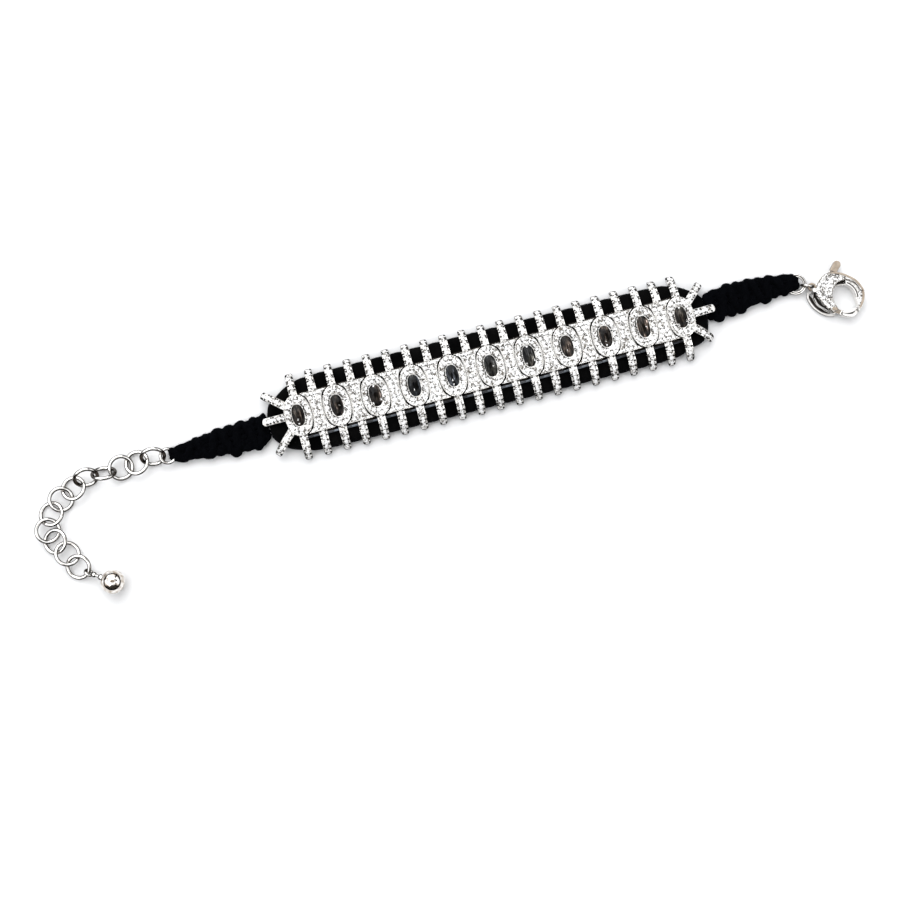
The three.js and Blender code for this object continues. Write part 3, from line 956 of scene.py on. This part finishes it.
def skin(loops, name, finish):
    """A closed smooth skin through loops with equal counts of points."""
    count = len(loops[0])
    points = [point for loop in loops for point in loop]
    faces = []
    for start in range(0, len(points) - count, count):
        for i in range(count):
            a, b = start + i, start + (i + 1) % count
            faces.append((a, b, b + count, a + count))
    faces.append(tuple(reversed(range(count))))
    faces.append(tuple(range(len(points) - count, len(points))))
    piece = from_points(name, points, faces)
    edit(piece, all_faces)
    bpy.ops.mesh.remove_doubles(threshold=0.0005)
    bpy.ops.mesh.normals_make_consistent(inside=False)
    done()
    bpy.ops.object.shade_smooth()
    return painted(piece, finish)


def fuzz(piece, count, least, most, seed):
    """Fine stray fibres standing out of a soft piece."""
    draw = random.Random(seed)
    faces = [face for face in piece.data.polygons if face.normal.z > -0.1]
    reach = np.cumsum([face.area for face in faces])
    points, sides = [], []
    for start in range(0, 4 * count, 4):
        face = faces[int(np.searchsorted(reach, draw.uniform(0, reach[-1])))]
        corners = [piece.data.vertices[i].co for i in face.vertices]
        shares = [draw.random() for _ in corners]
        root = sum((c * w for c, w in zip(corners, shares)), Vector()) / sum(shares)
        lean = Vector((draw.gauss(0, 0.6), draw.gauss(0, 0.6), draw.gauss(0, 0.4)))
        way = (face.normal + lean).normalized()
        across = way.orthogonal().normalized() * 0.022
        over = way.cross(across) * 0.87
        tip = root + way * draw.uniform(least, most)
        tip.z = max(tip.z, 0.1)
        root = root - way * 0.05
        back = root - 0.5 * across
        points += [root + across, back + over, back - over, tip]
        for corners in ((0, 2, 1), (0, 1, 3), (1, 2, 3), (2, 0, 3)):
            sides.append([start + corner for corner in corners])
    fibres = from_points("fibres", points, sides)
    return joined([piece, painted(fibres, *piece.data.materials)])


def soft_band():
    """The stuffed velvet band: it swells between the ribs and is nipped under them."""
    low, high = BAND_STATIONS[0][0], BAND_STATIONS[-1][0]
    loops = []
    for k in range(BAND_STEPS + 1):
        share = k / BAND_STEPS
        x = low + (high - low) * (share - 0.3 * math.sin(TURN * share) / TURN)
        north, south, thick = eased(BAND_STATIONS, x)
        soft = min(1, (north - south) / 8)
        nip = rib_squeeze(x)
        loop = []
        for edge, way, section in ((north, 1, BAND_EDGE), (south, -1, BAND_EDGE[::-1])):
            for inward, rise in section:
                swell = (1 - nip) * 0.16 * math.exp(-inward)
                wave = 0.05 * noise.noise((x * 1.7, way * 3.1, inward))
                y = edge - way * (inward * soft - swell - wave)
                lump = 0.06 * noise.noise((x * 0.5, y * 0.6, 2.0)) * rise
                loop.append((x, y, rise * thick - 0.05 * nip * rise + lump))
        loops.append(loop)
    return fuzz(skin(loops, "velvet_band", velvet), 9000, 0.1, 0.32, 3)


band = finished(soft_band(), "velvet_band", "fabric_band")

# ---------- knotted cord ends ----------

# Along each knotted end: x, north edge, south edge and thickness.
BRAID_LEFT = [
    (-73.9, -0.4, -2.4, 2.1), (-72.6, 0.5, -3.1, 2.3), (-68.5, 1.2, -3.8, 2.4),
    (-64.6, 1.8, -4.35, 2.4), (-60.5, 2.35, -4.85, 2.4), (-56.5, 2.45, -5.2, 2.4),
    (-53.0, 2.8, -5.05, 2.3), (-51.8, 2.8, -3.9, 2.2), (-50.9, 2.2, -3.2, 1.9),
]
BRAID_RIGHT = [
    (50.22, 4.0, -2.3, 1.9), (51.2, 4.8, -2.85, 2.2), (55.5, 5.25, -2.55, 2.4),
    (58.8, 5.3, -2.15, 2.4), (62.1, 5.1, -1.6, 2.4), (66.7, 4.4, -1.05, 2.4),
    (70.8, 3.8, -0.6, 2.2), (72.3, 1.4, -0.2, 1.9),
]
PLIES = 3
CORE_CORDS = 5
CORE_CORD = 1.3
CORE_STEPS = 69
WORKING_CORD = 1.9
WRAP_CORD = 0.62
HALF_KNOTS = 8
HALF_KNOT_STEPS = 22
WRAP_TURNS = 4


def cord_along(path, width, name, lay=2.3, sides=14, rough=0.0):
    """A plied cord along a path of points, closed at both ends."""
    points = [Vector(p) for p in path]
    loops = []
    run = 0.0
    frame_x = Vector((0.31, 0.17, 0.93))
    for k, point in enumerate(points):
        ahead = points[min(k + 1, len(points) - 1)] - points[max(k - 1, 0)]
        ahead.normalize()
        frame_x = (frame_x - ahead * frame_x.dot(ahead)).normalized()
        frame_y = ahead.cross(frame_x)
        if k:
            run += (point - points[k - 1]).length
        shut = min(1.0, 0.35 + 0.65 * min(k, len(points) - 1 - k) / 2)
        loop = []
        for i in range(sides):
            turn = TURN * i / sides
            c, s = math.cos(turn), math.sin(turn)
            ply = 1 + 0.11 * math.cos(PLIES * (turn - TURN * run / lay / PLIES))
            ply += rough * noise.noise(point * 1.6 + Vector((c, s, 0)))
            spot = point + width / 2 * ply * shut * (c * frame_x + s * frame_y)
            loop.append(Vector((spot.x, spot.y, max(spot.z, 0.01))))
        loops.append(loop)
    return skin(loops, name, cord_black)


def knotted_cords(stations, phase):
    """Flat knots on straight core cords.

    One working cord zigzags over the front, the other behind, and they change sides at
    every half knot, so both edges are scalloped.
    """
    low, high = stations[0][0], stations[-1][0]
    pieces = []

    def across(x):
        north, south, thick = eased(stations, x)
        return (north + south) / 2, (north - south) / 2, thick

    for i in range(CORE_CORDS):
        share = (i + 0.5) / CORE_CORDS * 2 - 1
        path = []
        for k in range(CORE_STEPS + 1):
            x = low + 0.02 + (high - low - 0.04) * k / CORE_STEPS
            middle, half, thick = across(x)
            y = middle + share * (half - 0.6)
            path.append((x, y, thick / 2 + 0.06 * math.sin(x * 2.2 + i)))
        pieces.append(cord_along(path, CORE_CORD, f"core_{i}"))
    for front in (1, -1):
        path = []
        for k in range(HALF_KNOTS * HALF_KNOT_STEPS + 1):
            half_turn = k / HALF_KNOT_STEPS
            x = low + 0.35 + (high - low - 0.7) * half_turn / HALF_KNOTS
            middle, half, thick = across(x)
            wave = math.cos(math.pi * half_turn + phase) * front
            flat = math.copysign(abs(wave) ** 0.75, wave)
            lift = (1 - abs(wave) ** 2.4) * front
            slack = 1 + 0.22 * noise.noise((half_turn * 1.3, front * 4.0, 0.5))
            reach = half - WORKING_CORD * (0.42 if front > 0 else 0.66)
            z = thick / 2 + (thick / 2 - WORKING_CORD * 0.42) * lift
            wander = 0.6 * noise.noise((half_turn * 1.4, front * 2.0, 5.5))
            y = middle + reach * flat * slack
            path.append((x + wander, y, max(z, WORKING_CORD * 0.57)))
        pieces.append(cord_along(path, WORKING_CORD, f"working_{front}", rough=0.22))
    return pieces


def end_wraps(ring_x, ring_y, ring_z, way, width, name):
    """Close turns of cord from the braid's end round the wire of its ring."""
    path = []
    for k in range(WRAP_TURNS * 20 + 1):
        turn = k / 20
        angle = TURN * turn
        y = ring_y + width * (turn / WRAP_TURNS - 0.5)
        x = ring_x + way * (0.55 + 0.75 * math.cos(angle))
        path.append((x, y, ring_z + 0.75 * math.sin(angle)))
    return cord_along(path, WRAP_CORD, name, lay=1.8, sides=8)


for side, stations, wraps, phase in (
    ("left", BRAID_LEFT, (-72.75, -1.35, 1.15, 1, 2.2), 0.0),
    ("right", BRAID_RIGHT, (69.7, 1.2, 1.1, -1, 2.4), 0.4),
):
    cords = knotted_cords(stations, phase)
    cords.append(end_wraps(*wraps, f"{side}_wraps"))
    piece = fuzz(joined(cords), 3500, 0.12, 0.5, 4)
    finished(piece, f"knotted_end_{side}", f"braid_{side}")

# ---------- rings, chain and ball ----------


def pointing(way):
    """The turn that points +Z this way."""
    return Vector((0, 0, 1)).rotation_difference(way).to_matrix().to_4x4()


def wire_ring(x, y, z, tilt, lean, middle, wire, turns=56, sides=14, bright=0.92):
    """A ring of round wire, soldered shut: the joint shows as a slight swelling.

    It is tilted towards a compass angle, both in degrees.
    """
    bpy.ops.mesh.primitive_torus_add(
        major_radius=middle, minor_radius=wire / 2, major_segments=turns, minor_segments=sides
    )
    ring = bpy.context.object
    for vertex in ring.data.vertices:
        angle = math.atan2(vertex.co.y, vertex.co.x)
        swell = 1 + 0.05 * math.exp(-((angle - 2.2) ** 2) / 0.006)
        out = Vector((math.cos(angle), math.sin(angle), 0)) * middle
        vertex.co = out + (vertex.co - out) * swell
    tip, way = math.radians(tilt), math.radians(lean)
    axis = Vector((math.sin(tip) * math.cos(way), math.sin(tip) * math.sin(way), math.cos(tip)))
    ring.data.transform(shift(x, y, z) @ pointing(axis))
    bpy.ops.object.shade_smooth()
    return painted(mark_painted_shade(ring, bright), shaded_metal)


# Each link of the extender: x, y, lift off the floor, tilt and lean.
CHAIN = [
    (-77.3, -0.7, 0, 53, 265), (-81.2, -1.0, 0.1, 18, 125), (-84.8, -1.2, 0, 20, 300),
    (-88.6, -1.6, 0, 58, 80), (-92.6, -1.5, 0, 52, 275), (-96.0, -3.0, 0, 20, 120),
    (-99.2, -4.7, 0, 18, 305), (-102.0, -7.3, 0, 18, 125), (-103.6, -10.7, 0.1, 20, 328),
    (-102.6, -13.4, 0, 20, 175), (-100.6, -16.7, 0.3, 22, 27), (-99.0, -20.1, 0, 20, 227),
]
LINK_MIDDLE = 2.51
LINK_WIRE = 0.86

for k, (x, y, lift, tilt, lean) in enumerate(CHAIN):
    z = LINK_MIDDLE * math.sin(math.radians(tilt)) + LINK_WIRE / 2 + lift
    link = wire_ring(x, y, z, tilt, lean, LINK_MIDDLE, LINK_WIRE)
    finished(link, f"extender_link_{k + 1:02d}", f"chain_link_{k + 1:02d}")

finished(wire_ring(-74.2, -1.3, 1.75, 18, 10, 1.6, 0.7), "left_jump_ring", "end_ring_left")
split_ring = joined([
    wire_ring(71.5, 0.95, 1.2, 8, 180, 2.2, 0.42, turns=64, bright=0.97),
    wire_ring(71.5, 0.95, 1.26, 8, 180, 1.79, 0.42, bright=0.97),
])
finished(split_ring, "right_split_ring", "end_ring_right")
finished(wire_ring(73.75, -0.07, 1.62, 85, 65.5, 1.3, 0.55), "clasp_jump_ring", "clasp_bail")

BALL_AT = Vector((-92.3, -25.25, 2.65))
BALL_RADIUS = 2.65
EYE_AT = Vector((-97.1, -21.9, 1.25))


def ball_drop():
    """A polished ball on a short stem, with a collar where they meet and a wire eye."""
    drop = ball(BALL_RADIUS, 48, 28)
    run = EYE_AT - BALL_AT
    stem = cylinder(20, 0.62, 2.45, 2.95)
    edit(stem, facing_up)
    for rise, share in ((0.12, 1.1), (0.3, 0.85), (0.2, 0.62)):
        taper(rise, share)
    pull(run.length - 4.45)
    done()
    broken_edges(stem, 0.05, 2, 35)
    smooth(stem)
    knob = ball(0.62, 24, 14, (0, 0, 4.7))
    piece = joined([
        painted(drop, ball_metal), painted(stem, shaded_metal), painted(knob, shaded_metal)
    ])
    piece.data.transform(shift(*BALL_AT) @ pointing(run))
    mark_painted_shade(piece, 0.93)
    # The ball takes no painted shoulder shade; the stem, collar and knob keep theirs.
    for corner, mark in zip(piece.data.loops, piece.data.attributes["painted_shade_mark"].data):
        place = piece.data.vertices[corner.vertex_index].co
        if (place - BALL_AT).length < BALL_RADIUS + 0.05:
            mark.value = 0
    return joined([piece, wire_ring(*EYE_AT, 56, 40, 0.85, 0.62, 32, 12)])


finished(ball_drop(), "ball_drop_polished", "ball_drop")

# ---------- clasp ----------

# Outlines are x and y round an edge; strips are x, y and half width along their middle.
CLASP_AT = (81.0, -4.65, 0.05)
HOLE = (2.6, 2.95)
PIVOT = (-3.0, -2.0)
# The hook keeps this far from the pivot, to let the gate's end swing past it.
GATE_CLEAR = 5.7
BODY_TOP = 2.24
BACK_TOP = 0.75
# The lower and upper height of the thin bands on the hook and the gate.
BANDS = (2.1, 2.38)
POST = (-6.1, 3.15)
LUG = (-6.2, 4.1)
FRONT_OUTER = [
    (4.85, 0.3), (3.85, 2.85), (2.1, 4.6), (0.1, 5.8), (-1.65, 6.2), (-3.45, 5.85), (-4.6, 4.9),
    (-5.6, 3.7), (-6.0, 2.45), (-5.7, 1.1), (-4.6, -1.3), (-3.75, -2.3),
]
FRONT_END = [(-3.4, -2.9), (-1.95, -2.45)]
FRONT_INNER = [
    (-2.35, -1.3), (-2.6, 0.1), (-2.3, 1.6), (-1.6, 2.8), (-0.4, 3.55), (1.2, 3.7), (2.6, 3.0),
    (3.45, 1.9), (3.75, 0.6),
]
BACK_OUTER = [
    (1.5, 5.0), (0.1, 5.8), (-1.65, 6.2), (-3.45, 5.85), (-4.6, 4.9), (-5.4, 3.7),
    (-6.5, 1.8), (-6.05, -0.1), (-5.05, -1.3), (-3.9, -2.4), (-2.7, -2.9),
]
RIM_OUTER = [
    (-7.35, 3.2), (-7.75, 1.95), (-7.15, -0.2), (-5.85, -1.95), (-4.3, -3.1), (-2.7, -3.5),
]
RIM_INNER = [
    (-2.4, -2.8), (-4.22, -2.5), (-5.6, -1.62), (-6.75, -0.02), (-7.3, 1.92), (-6.95, 2.75),
]
RIM_HEAD = [(-6.1, 2.75), (-6.1, 3.5), (-6.9, 3.5)]
RIM_GAP = [
    (-7.2, 2.6, 0.2), (-6.95, 1.8, 0.4), (-6.4, 0.0, 0.4), (-5.4, -1.35, 0.4), (-4.2, -2.15, 0.4),
    (-3.3, -2.6, 0.2),
]
HOOK_OUTER = [
    (1.9, -4.3), (3.15, -3.2), (3.95, -2.2), (4.5, -1.2), (4.8, 0.3), (3.8, 2.85), (2.1, 4.55),
    (1.5, 4.95),
]
LEVER_ARM = [
    (-3, -2, 0.6), (-3.85, 0.2, 0.55), (-3.55, 2.7, 0.55), (-2.2, 4.7, 0.6), (-0.85, 6.1, 0.78),
    (0.6, 7.65, 0.8),
]
LEVER_TAB = [(-0.72, 6.25, 0.8), (0.6, 7.65, 0.86)]
LEVER_NECK = [(-3, -2, 0.6), (-1.1, -3.4, 0.55)]
GATE_OUTER = [(-1.72, -3.35), (-1.1, -4.2), (0.6, -4.75), (1.8, -4.3), (2.2, -3.65)]
GATE_INNER = [(2.4, -2.75), (1.6, -3.0), (0.5, -3.15), (-0.5, -3.05), (-1.2, -2.75)]
GATE_RAILS = [
    [
        (-1.3, -3.45, 0.2), (-0.85, -3.92, 0.28), (0.6, -4.42, 0.3), (1.55, -4.05, 0.28),
        (1.85, -3.6, 0.2),
    ],
    [
        (2.1, -3.05, 0.18), (1.5, -3.3, 0.26), (0.5, -3.45, 0.28), (-0.5, -3.36, 0.26),
        (-1.3, -3.05, 0.18),
    ],
]
HOOK_BAND = [
    (2.78, -3.3, 0.1), (3.0, -3.0, 0.18), (3.7, -2.1, 0.24), (4.23, -1.13, 0.26),
    (4.53, 0.27, 0.26), (4.2, 1.6, 0.26),
]
FRONT_BAND = [
    (4.63, 0.33, 0.2), (3.68, 2.68, 0.24), (1.97, 4.38, 0.24), (0.05, 5.56, 0.22),
    (-1.6, 5.98, 0.12),
]
BACK_EDGE = [(-6.2, 1.6, 0.14), (-5.8, -0.05, 0.16), (-4.85, -1.1, 0.16), (-3.8, -2.1, 0.14)]
# Single stones down the hook: x, y and size.
HOOK_STONES = [
    (3.78, 0.2, 0.8), (3.72, -0.56, 0.8), (3.55, -1.3, 0.78), (3.3, -1.98, 0.72),
    (2.98, -2.55, 0.5),
]
FRONT_STONE = 0.86
FRONT_ROWS = (0.55, 0.98, 1.4, 1.82)
FLAT_END = (-2.6, -2.55)


CURVE_STEPS = 6


def through(points):
    """Points along a smooth curve through these."""
    full = [points[0], *points, points[-1]]
    curve = []
    for four in zip(full, full[1:], full[2:], full[3:]):
        for t in (k / CURVE_STEPS for k in range(CURVE_STEPS)):
            curve.append(
                [between(b, c, (c - a) / 2, (d - b) / 2, t) for a, b, c, d in zip(*four)]
            )
    curve.append(points[-1])
    return curve


def arc(half_x, half_y, start, end, count, centre=(0, 0)):
    """Points along part of an ellipse, its ends given in degrees."""
    turns = [math.radians(start + (end - start) * k / (count - 1)) for k in range(count)]
    return [
        (centre[0] + half_x * math.cos(turn), centre[1] + half_y * math.sin(turn))
        for turn in turns
    ]


def anticlockwise(loop):
    area = sum(a[0] * b[1] - b[0] * a[1] for a, b in zip(loop, loop[1:] + loop[:1]))
    return loop if area > 0 else loop[::-1]


def soft_slab(outline, low, high, width=0.1, rounds=3):
    """A slab with its edges rounded over."""
    piece = slab(anticlockwise(outline), low, high)
    broken_edges(piece, width, rounds, 50)
    return true_faces(piece)


def strip_outline(stations):
    """The outline of a strip whose half width is given along its middle line."""
    middle = through(stations)
    left, right = [], []
    for k, (x, y, half) in enumerate(middle):
        ahead = middle[min(k + 1, len(middle) - 1)]
        behind = middle[max(k - 1, 0)]
        length = math.dist(ahead[:2], behind[:2])
        way_x, way_y = (ahead[0] - behind[0]) / length, (ahead[1] - behind[1]) / length
        left.append((x - way_y * half, y + way_x * half))
        right.append((x + way_y * half, y - way_x * half))
    return left + right[::-1]


def strip(stations, low, high, width=0.1, rounds=2):
    return soft_slab(strip_outline(stations), low, high, width, rounds)


def round_pin(x, y, radius, low, high, corners=28, width=0.06):
    pin = cylinder(corners, radius, low, high, x, y)
    broken_edges(pin, width, 2, 50)
    return true_faces(pin)


def bored(piece, x, y, radius):
    """The piece with a round hole straight through it."""
    return combined(piece, "DIFFERENCE", cylinder(28, radius, -4.5, 4.5, x, y))


def two_tone(piece, top, floor):
    """A polished slab with another finish on its flat top."""
    painted(piece, polished, floor)
    for face in piece.data.polygons:
        face.material_index = int(face.normal.z > 0.98 and face.center.z > top - 0.01)
    return piece


def hole_lip(start, end, low, high, near=0.02, far=0.36):
    """A narrow raised lip along part of the hole."""
    x, y = HOLE
    count = int(abs(end - start) / 4)
    inner = arc(x + near, y + near, start, end, count)
    outer = arc(x + far, y + far, end, start, count)
    return soft_slab(inner + outer, low, high, min(0.08, (high - low) / 3), 2)


def pave_rows(outline):
    """Stones in rows that follow the front's outline inwards."""
    grid = np.mgrid[-7:6:0.05, -4:7:0.05].reshape(2, -1).T
    grid = grid[within(grid, outline)]
    depth = away_from(grid, outline)
    chosen = []
    for row in FRONT_ROWS:
        spots = grid[np.abs(depth - row) < 0.06]
        for x, y in spots[np.argsort(np.arctan2(spots[:, 1], spots[:, 0]))]:
            if all(math.dist((x, y), spot) > FRONT_STONE * 1.03 for spot in chosen):
                chosen.append((float(x), float(y)))
    return chosen


def clear_of_end(spot, band, room):
    """Whether a spot keeps off the front's flat end and, with room to spare, off its band."""
    spots = np.array([spot])
    by_band = away_from(spots, band)[0] <= room or within(spots, band)[0]
    return math.dist(spot, FLAT_END) > 1.1 and not by_band


def clasp_front():
    """The domed front: a polished edge and a flat end round a bed of small stones."""
    outline = anticlockwise(through(FRONT_OUTER) + FRONT_END + through(FRONT_INNER))
    piece = slab(outline, 2.0, 2.55)
    edit(piece, facing_up)
    bpy.ops.mesh.inset(thickness=0.14)
    bpy.ops.transform.translate(value=(0, 0, 0.16))
    bpy.ops.mesh.inset(thickness=0.1)
    pull(-0.1)
    done()
    mark_painted_shade(true_faces(piece))
    painted(piece, shaded_metal, seat_metal)
    for face in piece.data.polygons:
        in_bed = 2.4 < face.center.z < 2.66 and face.normal.z > 0.9
        face.material_index = int(in_bed and face.area > 3)
    band = strip_outline(FRONT_BAND)
    stones = [
        (*spot, FRONT_STONE) for spot in pave_rows(outline)
        if spot[0] < 3.9 and clear_of_end(spot, band, 0.3)
    ]
    seats = [lying(x, y, 2.3, size=size) for x, y, size in HOOK_STONES]
    depth = away_from(np.array(stones)[:, :2], outline)
    seats[:0] = [
        lying(x, y, 2.62 + 0.12 * min(1.0, deep / 1.3), size=size)
        for (x, y, size), deep in zip(stones, depth)
    ]
    beads = [
        lying(x, y, 2.63, size=1.5 * radius)
        for x, y, radius in bead_places(stones, outline, most=0.16)
        if clear_of_end((x, y), band, 0.08)
    ]
    # The front's edge band takes the painted warm reflection.
    edge = mark_painted_shade(strip(FRONT_BAND, 2.3, 2.76))
    setting = set_with(seats, beads, chance, outline)
    return joined([piece, painted(edge, warm_reflection_metal)]), setting


def clasp_frame():
    """The hook with its mouth, the back behind it with its double ring, the pin and the eye."""
    hook_loop = [p for p in through(HOOK_OUTER) if math.dist(p, PIVOT) > GATE_CLEAR]
    hook_loop += arc(*HOLE, 62, -12, 16) + arc(GATE_CLEAR, GATE_CLEAR, 12.5, -20, 10, PIVOT)
    hook = two_tone(soft_slab(hook_loop, 0, BODY_TOP, 0.12), BODY_TOP, seat_metal)
    back_loop = through(BACK_OUTER) + FRONT_END[1:] + arc(*HOLE, 228, 60, 26)
    # The back's flat top is painted dark: painted shade in the recess under the front.
    back = two_tone(soft_slab(back_loop, 0, BACK_TOP, rounds=2), BACK_TOP, groove_shade_metal)
    rim = soft_slab(through(RIM_OUTER) + through(RIM_INNER) + RIM_HEAD, 0, BACK_TOP, 0.2)
    # These take the painted warm reflection.
    warm = [
        bored(round_pin(*LUG, 0.95, 1.0, 1.8, 36, 0.2), *LUG, 0.55),
        round_pin(*PIVOT, 0.42, 0, 2.78),
        round_pin(-2.62, -2.15, 0.36, 2.6, 2.82),
        strip(HOOK_BAND, *BANDS),
    ]
    bright = [
        rim,
        round_pin(*POST, 0.5, 0, 2.8, width=0.15),
        hole_lip(62, 228, 0.7, 0.93),
        hole_lip(61, -13, 2.1, 2.46),
        strip(BACK_EDGE, 0.7, 0.94, 0.08),
    ]
    # Painted shade: a dark web that fills the gap inside the rim, and a thin dark ring between
    # the hook's lip and its stones.
    dark = [strip(RIM_GAP, 0.05, 0.3, 0.05, 1), hole_lip(61, -13, 2.1, 2.27, 0.34, 0.68)]
    for pieces, metal in ((warm, warm_reflection_metal), (bright, pale_metal), (dark, groove_shade_metal)):
        for piece in pieces:
            painted(piece, metal)
    for piece in warm + bright:
        mark_painted_shade(piece, 0.93)
    return joined([hook, back, *dark, *warm, *bright])


def tab_outline():
    """The thumb tab: a short strip with a round end."""
    (x0, y0, half), (x1, y1, end) = LEVER_TAB
    length = math.dist((x0, y0), (x1, y1))
    way_x, way_y = (x1 - x0) / length, (y1 - y0) / length
    loop = [(x0 - way_y * half, y0 + way_x * half), (x0 + way_y * half, y0 - way_x * half)]
    for along, over in arc(end, end, -90, 90, 15):
        loop.append((x1 + way_x * along - way_y * over, y1 + way_y * along + way_x * over))
    return loop


def clasp_lever():
    """The arm on the body's pin, with the thumb tab at one end and the gate at the other."""
    arm = combined(
        strip(LEVER_ARM, 0.97, 1.78), "UNION",
        round_pin(*PIVOT, 0.95, 0.975, 1.775, 36), strip(LEVER_NECK, 0.98, 1.77),
    )
    gate = soft_slab(through(GATE_OUTER) + through(GATE_INNER), 0.4, BODY_TOP, 0.14)
    rails = [painted(strip(run, *BANDS), pale_metal) for run in GATE_RAILS]
    arm = painted(bored(arm, *PIVOT, 0.65), shaded_metal)
    # The tab takes the painted warm reflection.
    tab = painted(soft_slab(tab_outline(), 0.8, 1.95, 0.12), warm_reflection_metal)
    # The gate's flat top between its rails is painted dark: painted shade.
    gate = two_tone(gate, BODY_TOP, groove_shade_metal)
    return mark_painted_shade(joined([arm, gate, *rails, tab]))


frame_metal = clasp_frame()
front, setting = clasp_front()
for piece, name, node, slot in (
    (frame_metal, "clasp_frame", "clasp_body", "polished_metal"),
    (front, "clasp_front", "clasp_body", "pave_metal"),
    (setting, "clasp_pave", "clasp_body", "pave_metal"),
    (clasp_lever(), "clasp_trigger", "clasp_lever", "polished_metal"),
):
    piece.data.transform(shift(*CLASP_AT))
    body = "clasp_lever" if node == "clasp_lever" else "bracelet"
    finished(piece, name, node, body)

discard(*STONES, BEAD, PIT)

# ---------- floor, light and camera ----------


def stage_floor():
    bpy.ops.mesh.primitive_plane_add(size=3)
    floor = bpy.context.object
    floor.name = "pale_floor"
    material, tree, shader = new_finish("pale_floor", Roughness=0.9, Specular_IOR_Level=0.1)
    coloured(
        tree, shader, speckle(tree, 6, detail=2),
        (0.3, (0.77, 0.77, 0.775)), (0.7, (0.79, 0.79, 0.79)),
    )
    painted(floor, material)


def soft_light(name, place, size, watts, target=(0, 0, 0)):
    light = bpy.data.lights.new(name, "AREA")
    light.shape = "RECTANGLE"
    light.size = light.size_y = size
    light.energy = watts
    holder = bpy.data.objects.new(name, light)
    holder.location = place
    aim = Vector(target) - Vector(place)
    holder.rotation_euler = aim.to_track_quat("-Z", "Y").to_euler()
    bpy.context.collection.objects.link(holder)


# The view in metres and degrees.
VIEW_TARGET = (-0.013356, -0.015565)
VIEW_AZIMUTH = -30.971
VIEW_ELEVATION = 84.566
VIEW_ROLL = 16.348
VIEW_DISTANCE = 0.4
SENSOR_WIDTH = 36
# The lens's length as a share of the sensor's width.
VIEW_LENS = 1.9936956


def stage_camera():
    data = bpy.data.cameras.new("camera")
    data.sensor_width = SENSOR_WIDTH
    data.lens = SENSOR_WIDTH * VIEW_LENS
    data.clip_start, data.clip_end = 0.01, 10
    camera = bpy.data.objects.new("camera", data)
    turn = turned(VIEW_AZIMUTH) @ turned(90 - VIEW_ELEVATION, "X") @ turned(VIEW_ROLL)
    camera.matrix_world = shift(*VIEW_TARGET) @ turn @ shift(0, 0, VIEW_DISTANCE)
    bpy.context.collection.objects.link(camera)
    bpy.context.scene.camera = camera


def stage_world():
    """A white tent: dark low down, on the viewer's side and in its gaps, with one warm panel."""
    world = bpy.data.worlds.new("studio")
    bpy.context.scene.world = world
    world.use_nodes = True
    tree = world.node_tree
    place = tree.nodes.new("ShaderNodeTexCoord").outputs["Generated"]

    def towards(x, y, z):
        way = tree.nodes.new("ShaderNodeVectorMath")
        way.operation = "DOT_PRODUCT"
        way.inputs[1].default_value = (x, y, z)
        tree.links.new(place, way.inputs[0])
        return way.outputs["Value"]

    gaps = add_node(tree, "ShaderNodeTexNoise", Scale=2.4, Detail=1.0)
    tree.links.new(place, gaps.inputs["Vector"])
    white = (1, 1, 1)
    layers = (
        (towards(0, 0, 1), (0.22, (0.012, 0.010, 0.008)), (0.36, (0.955, 0.975, 1.0))),
        (towards(-0.252, -0.967, 0), (0.40, white), (0.56, (0.03, 0.026, 0.022))),
        (towards(0.17, 0.12, 0.978), (0.925, white), (0.95, (0.23, 0.195, 0.16))),
        (gaps.outputs["Fac"], (0.40, (0.05, 0.042, 0.036)), (0.45, white)),
    )
    tent = tints(tree, *layers[0])
    for layer in layers[1:]:
        tent = colour_mix(tree, tent, tints(tree, *layer)).outputs["Result"]
    sky = tree.nodes["Background"]
    tree.links.new(tent, sky.inputs["Color"])
    sky.inputs["Strength"].default_value = 1.84
    bpy.context.scene.view_settings.view_transform = "Standard"


stage_floor()
stage_world()
soft_light("key_softbox", (-0.05, 0.62, 0.72), 1.0, 6.8)
soft_light("left_fill", (-0.18, -0.07, 0.14), 0.1, 0.06, (-0.095, -0.02, 0))
soft_light("right_fill", (0.15, -0.06, 0.14), 0.1, 0.05, (0.08, -0.01, 0))
stage_camera()
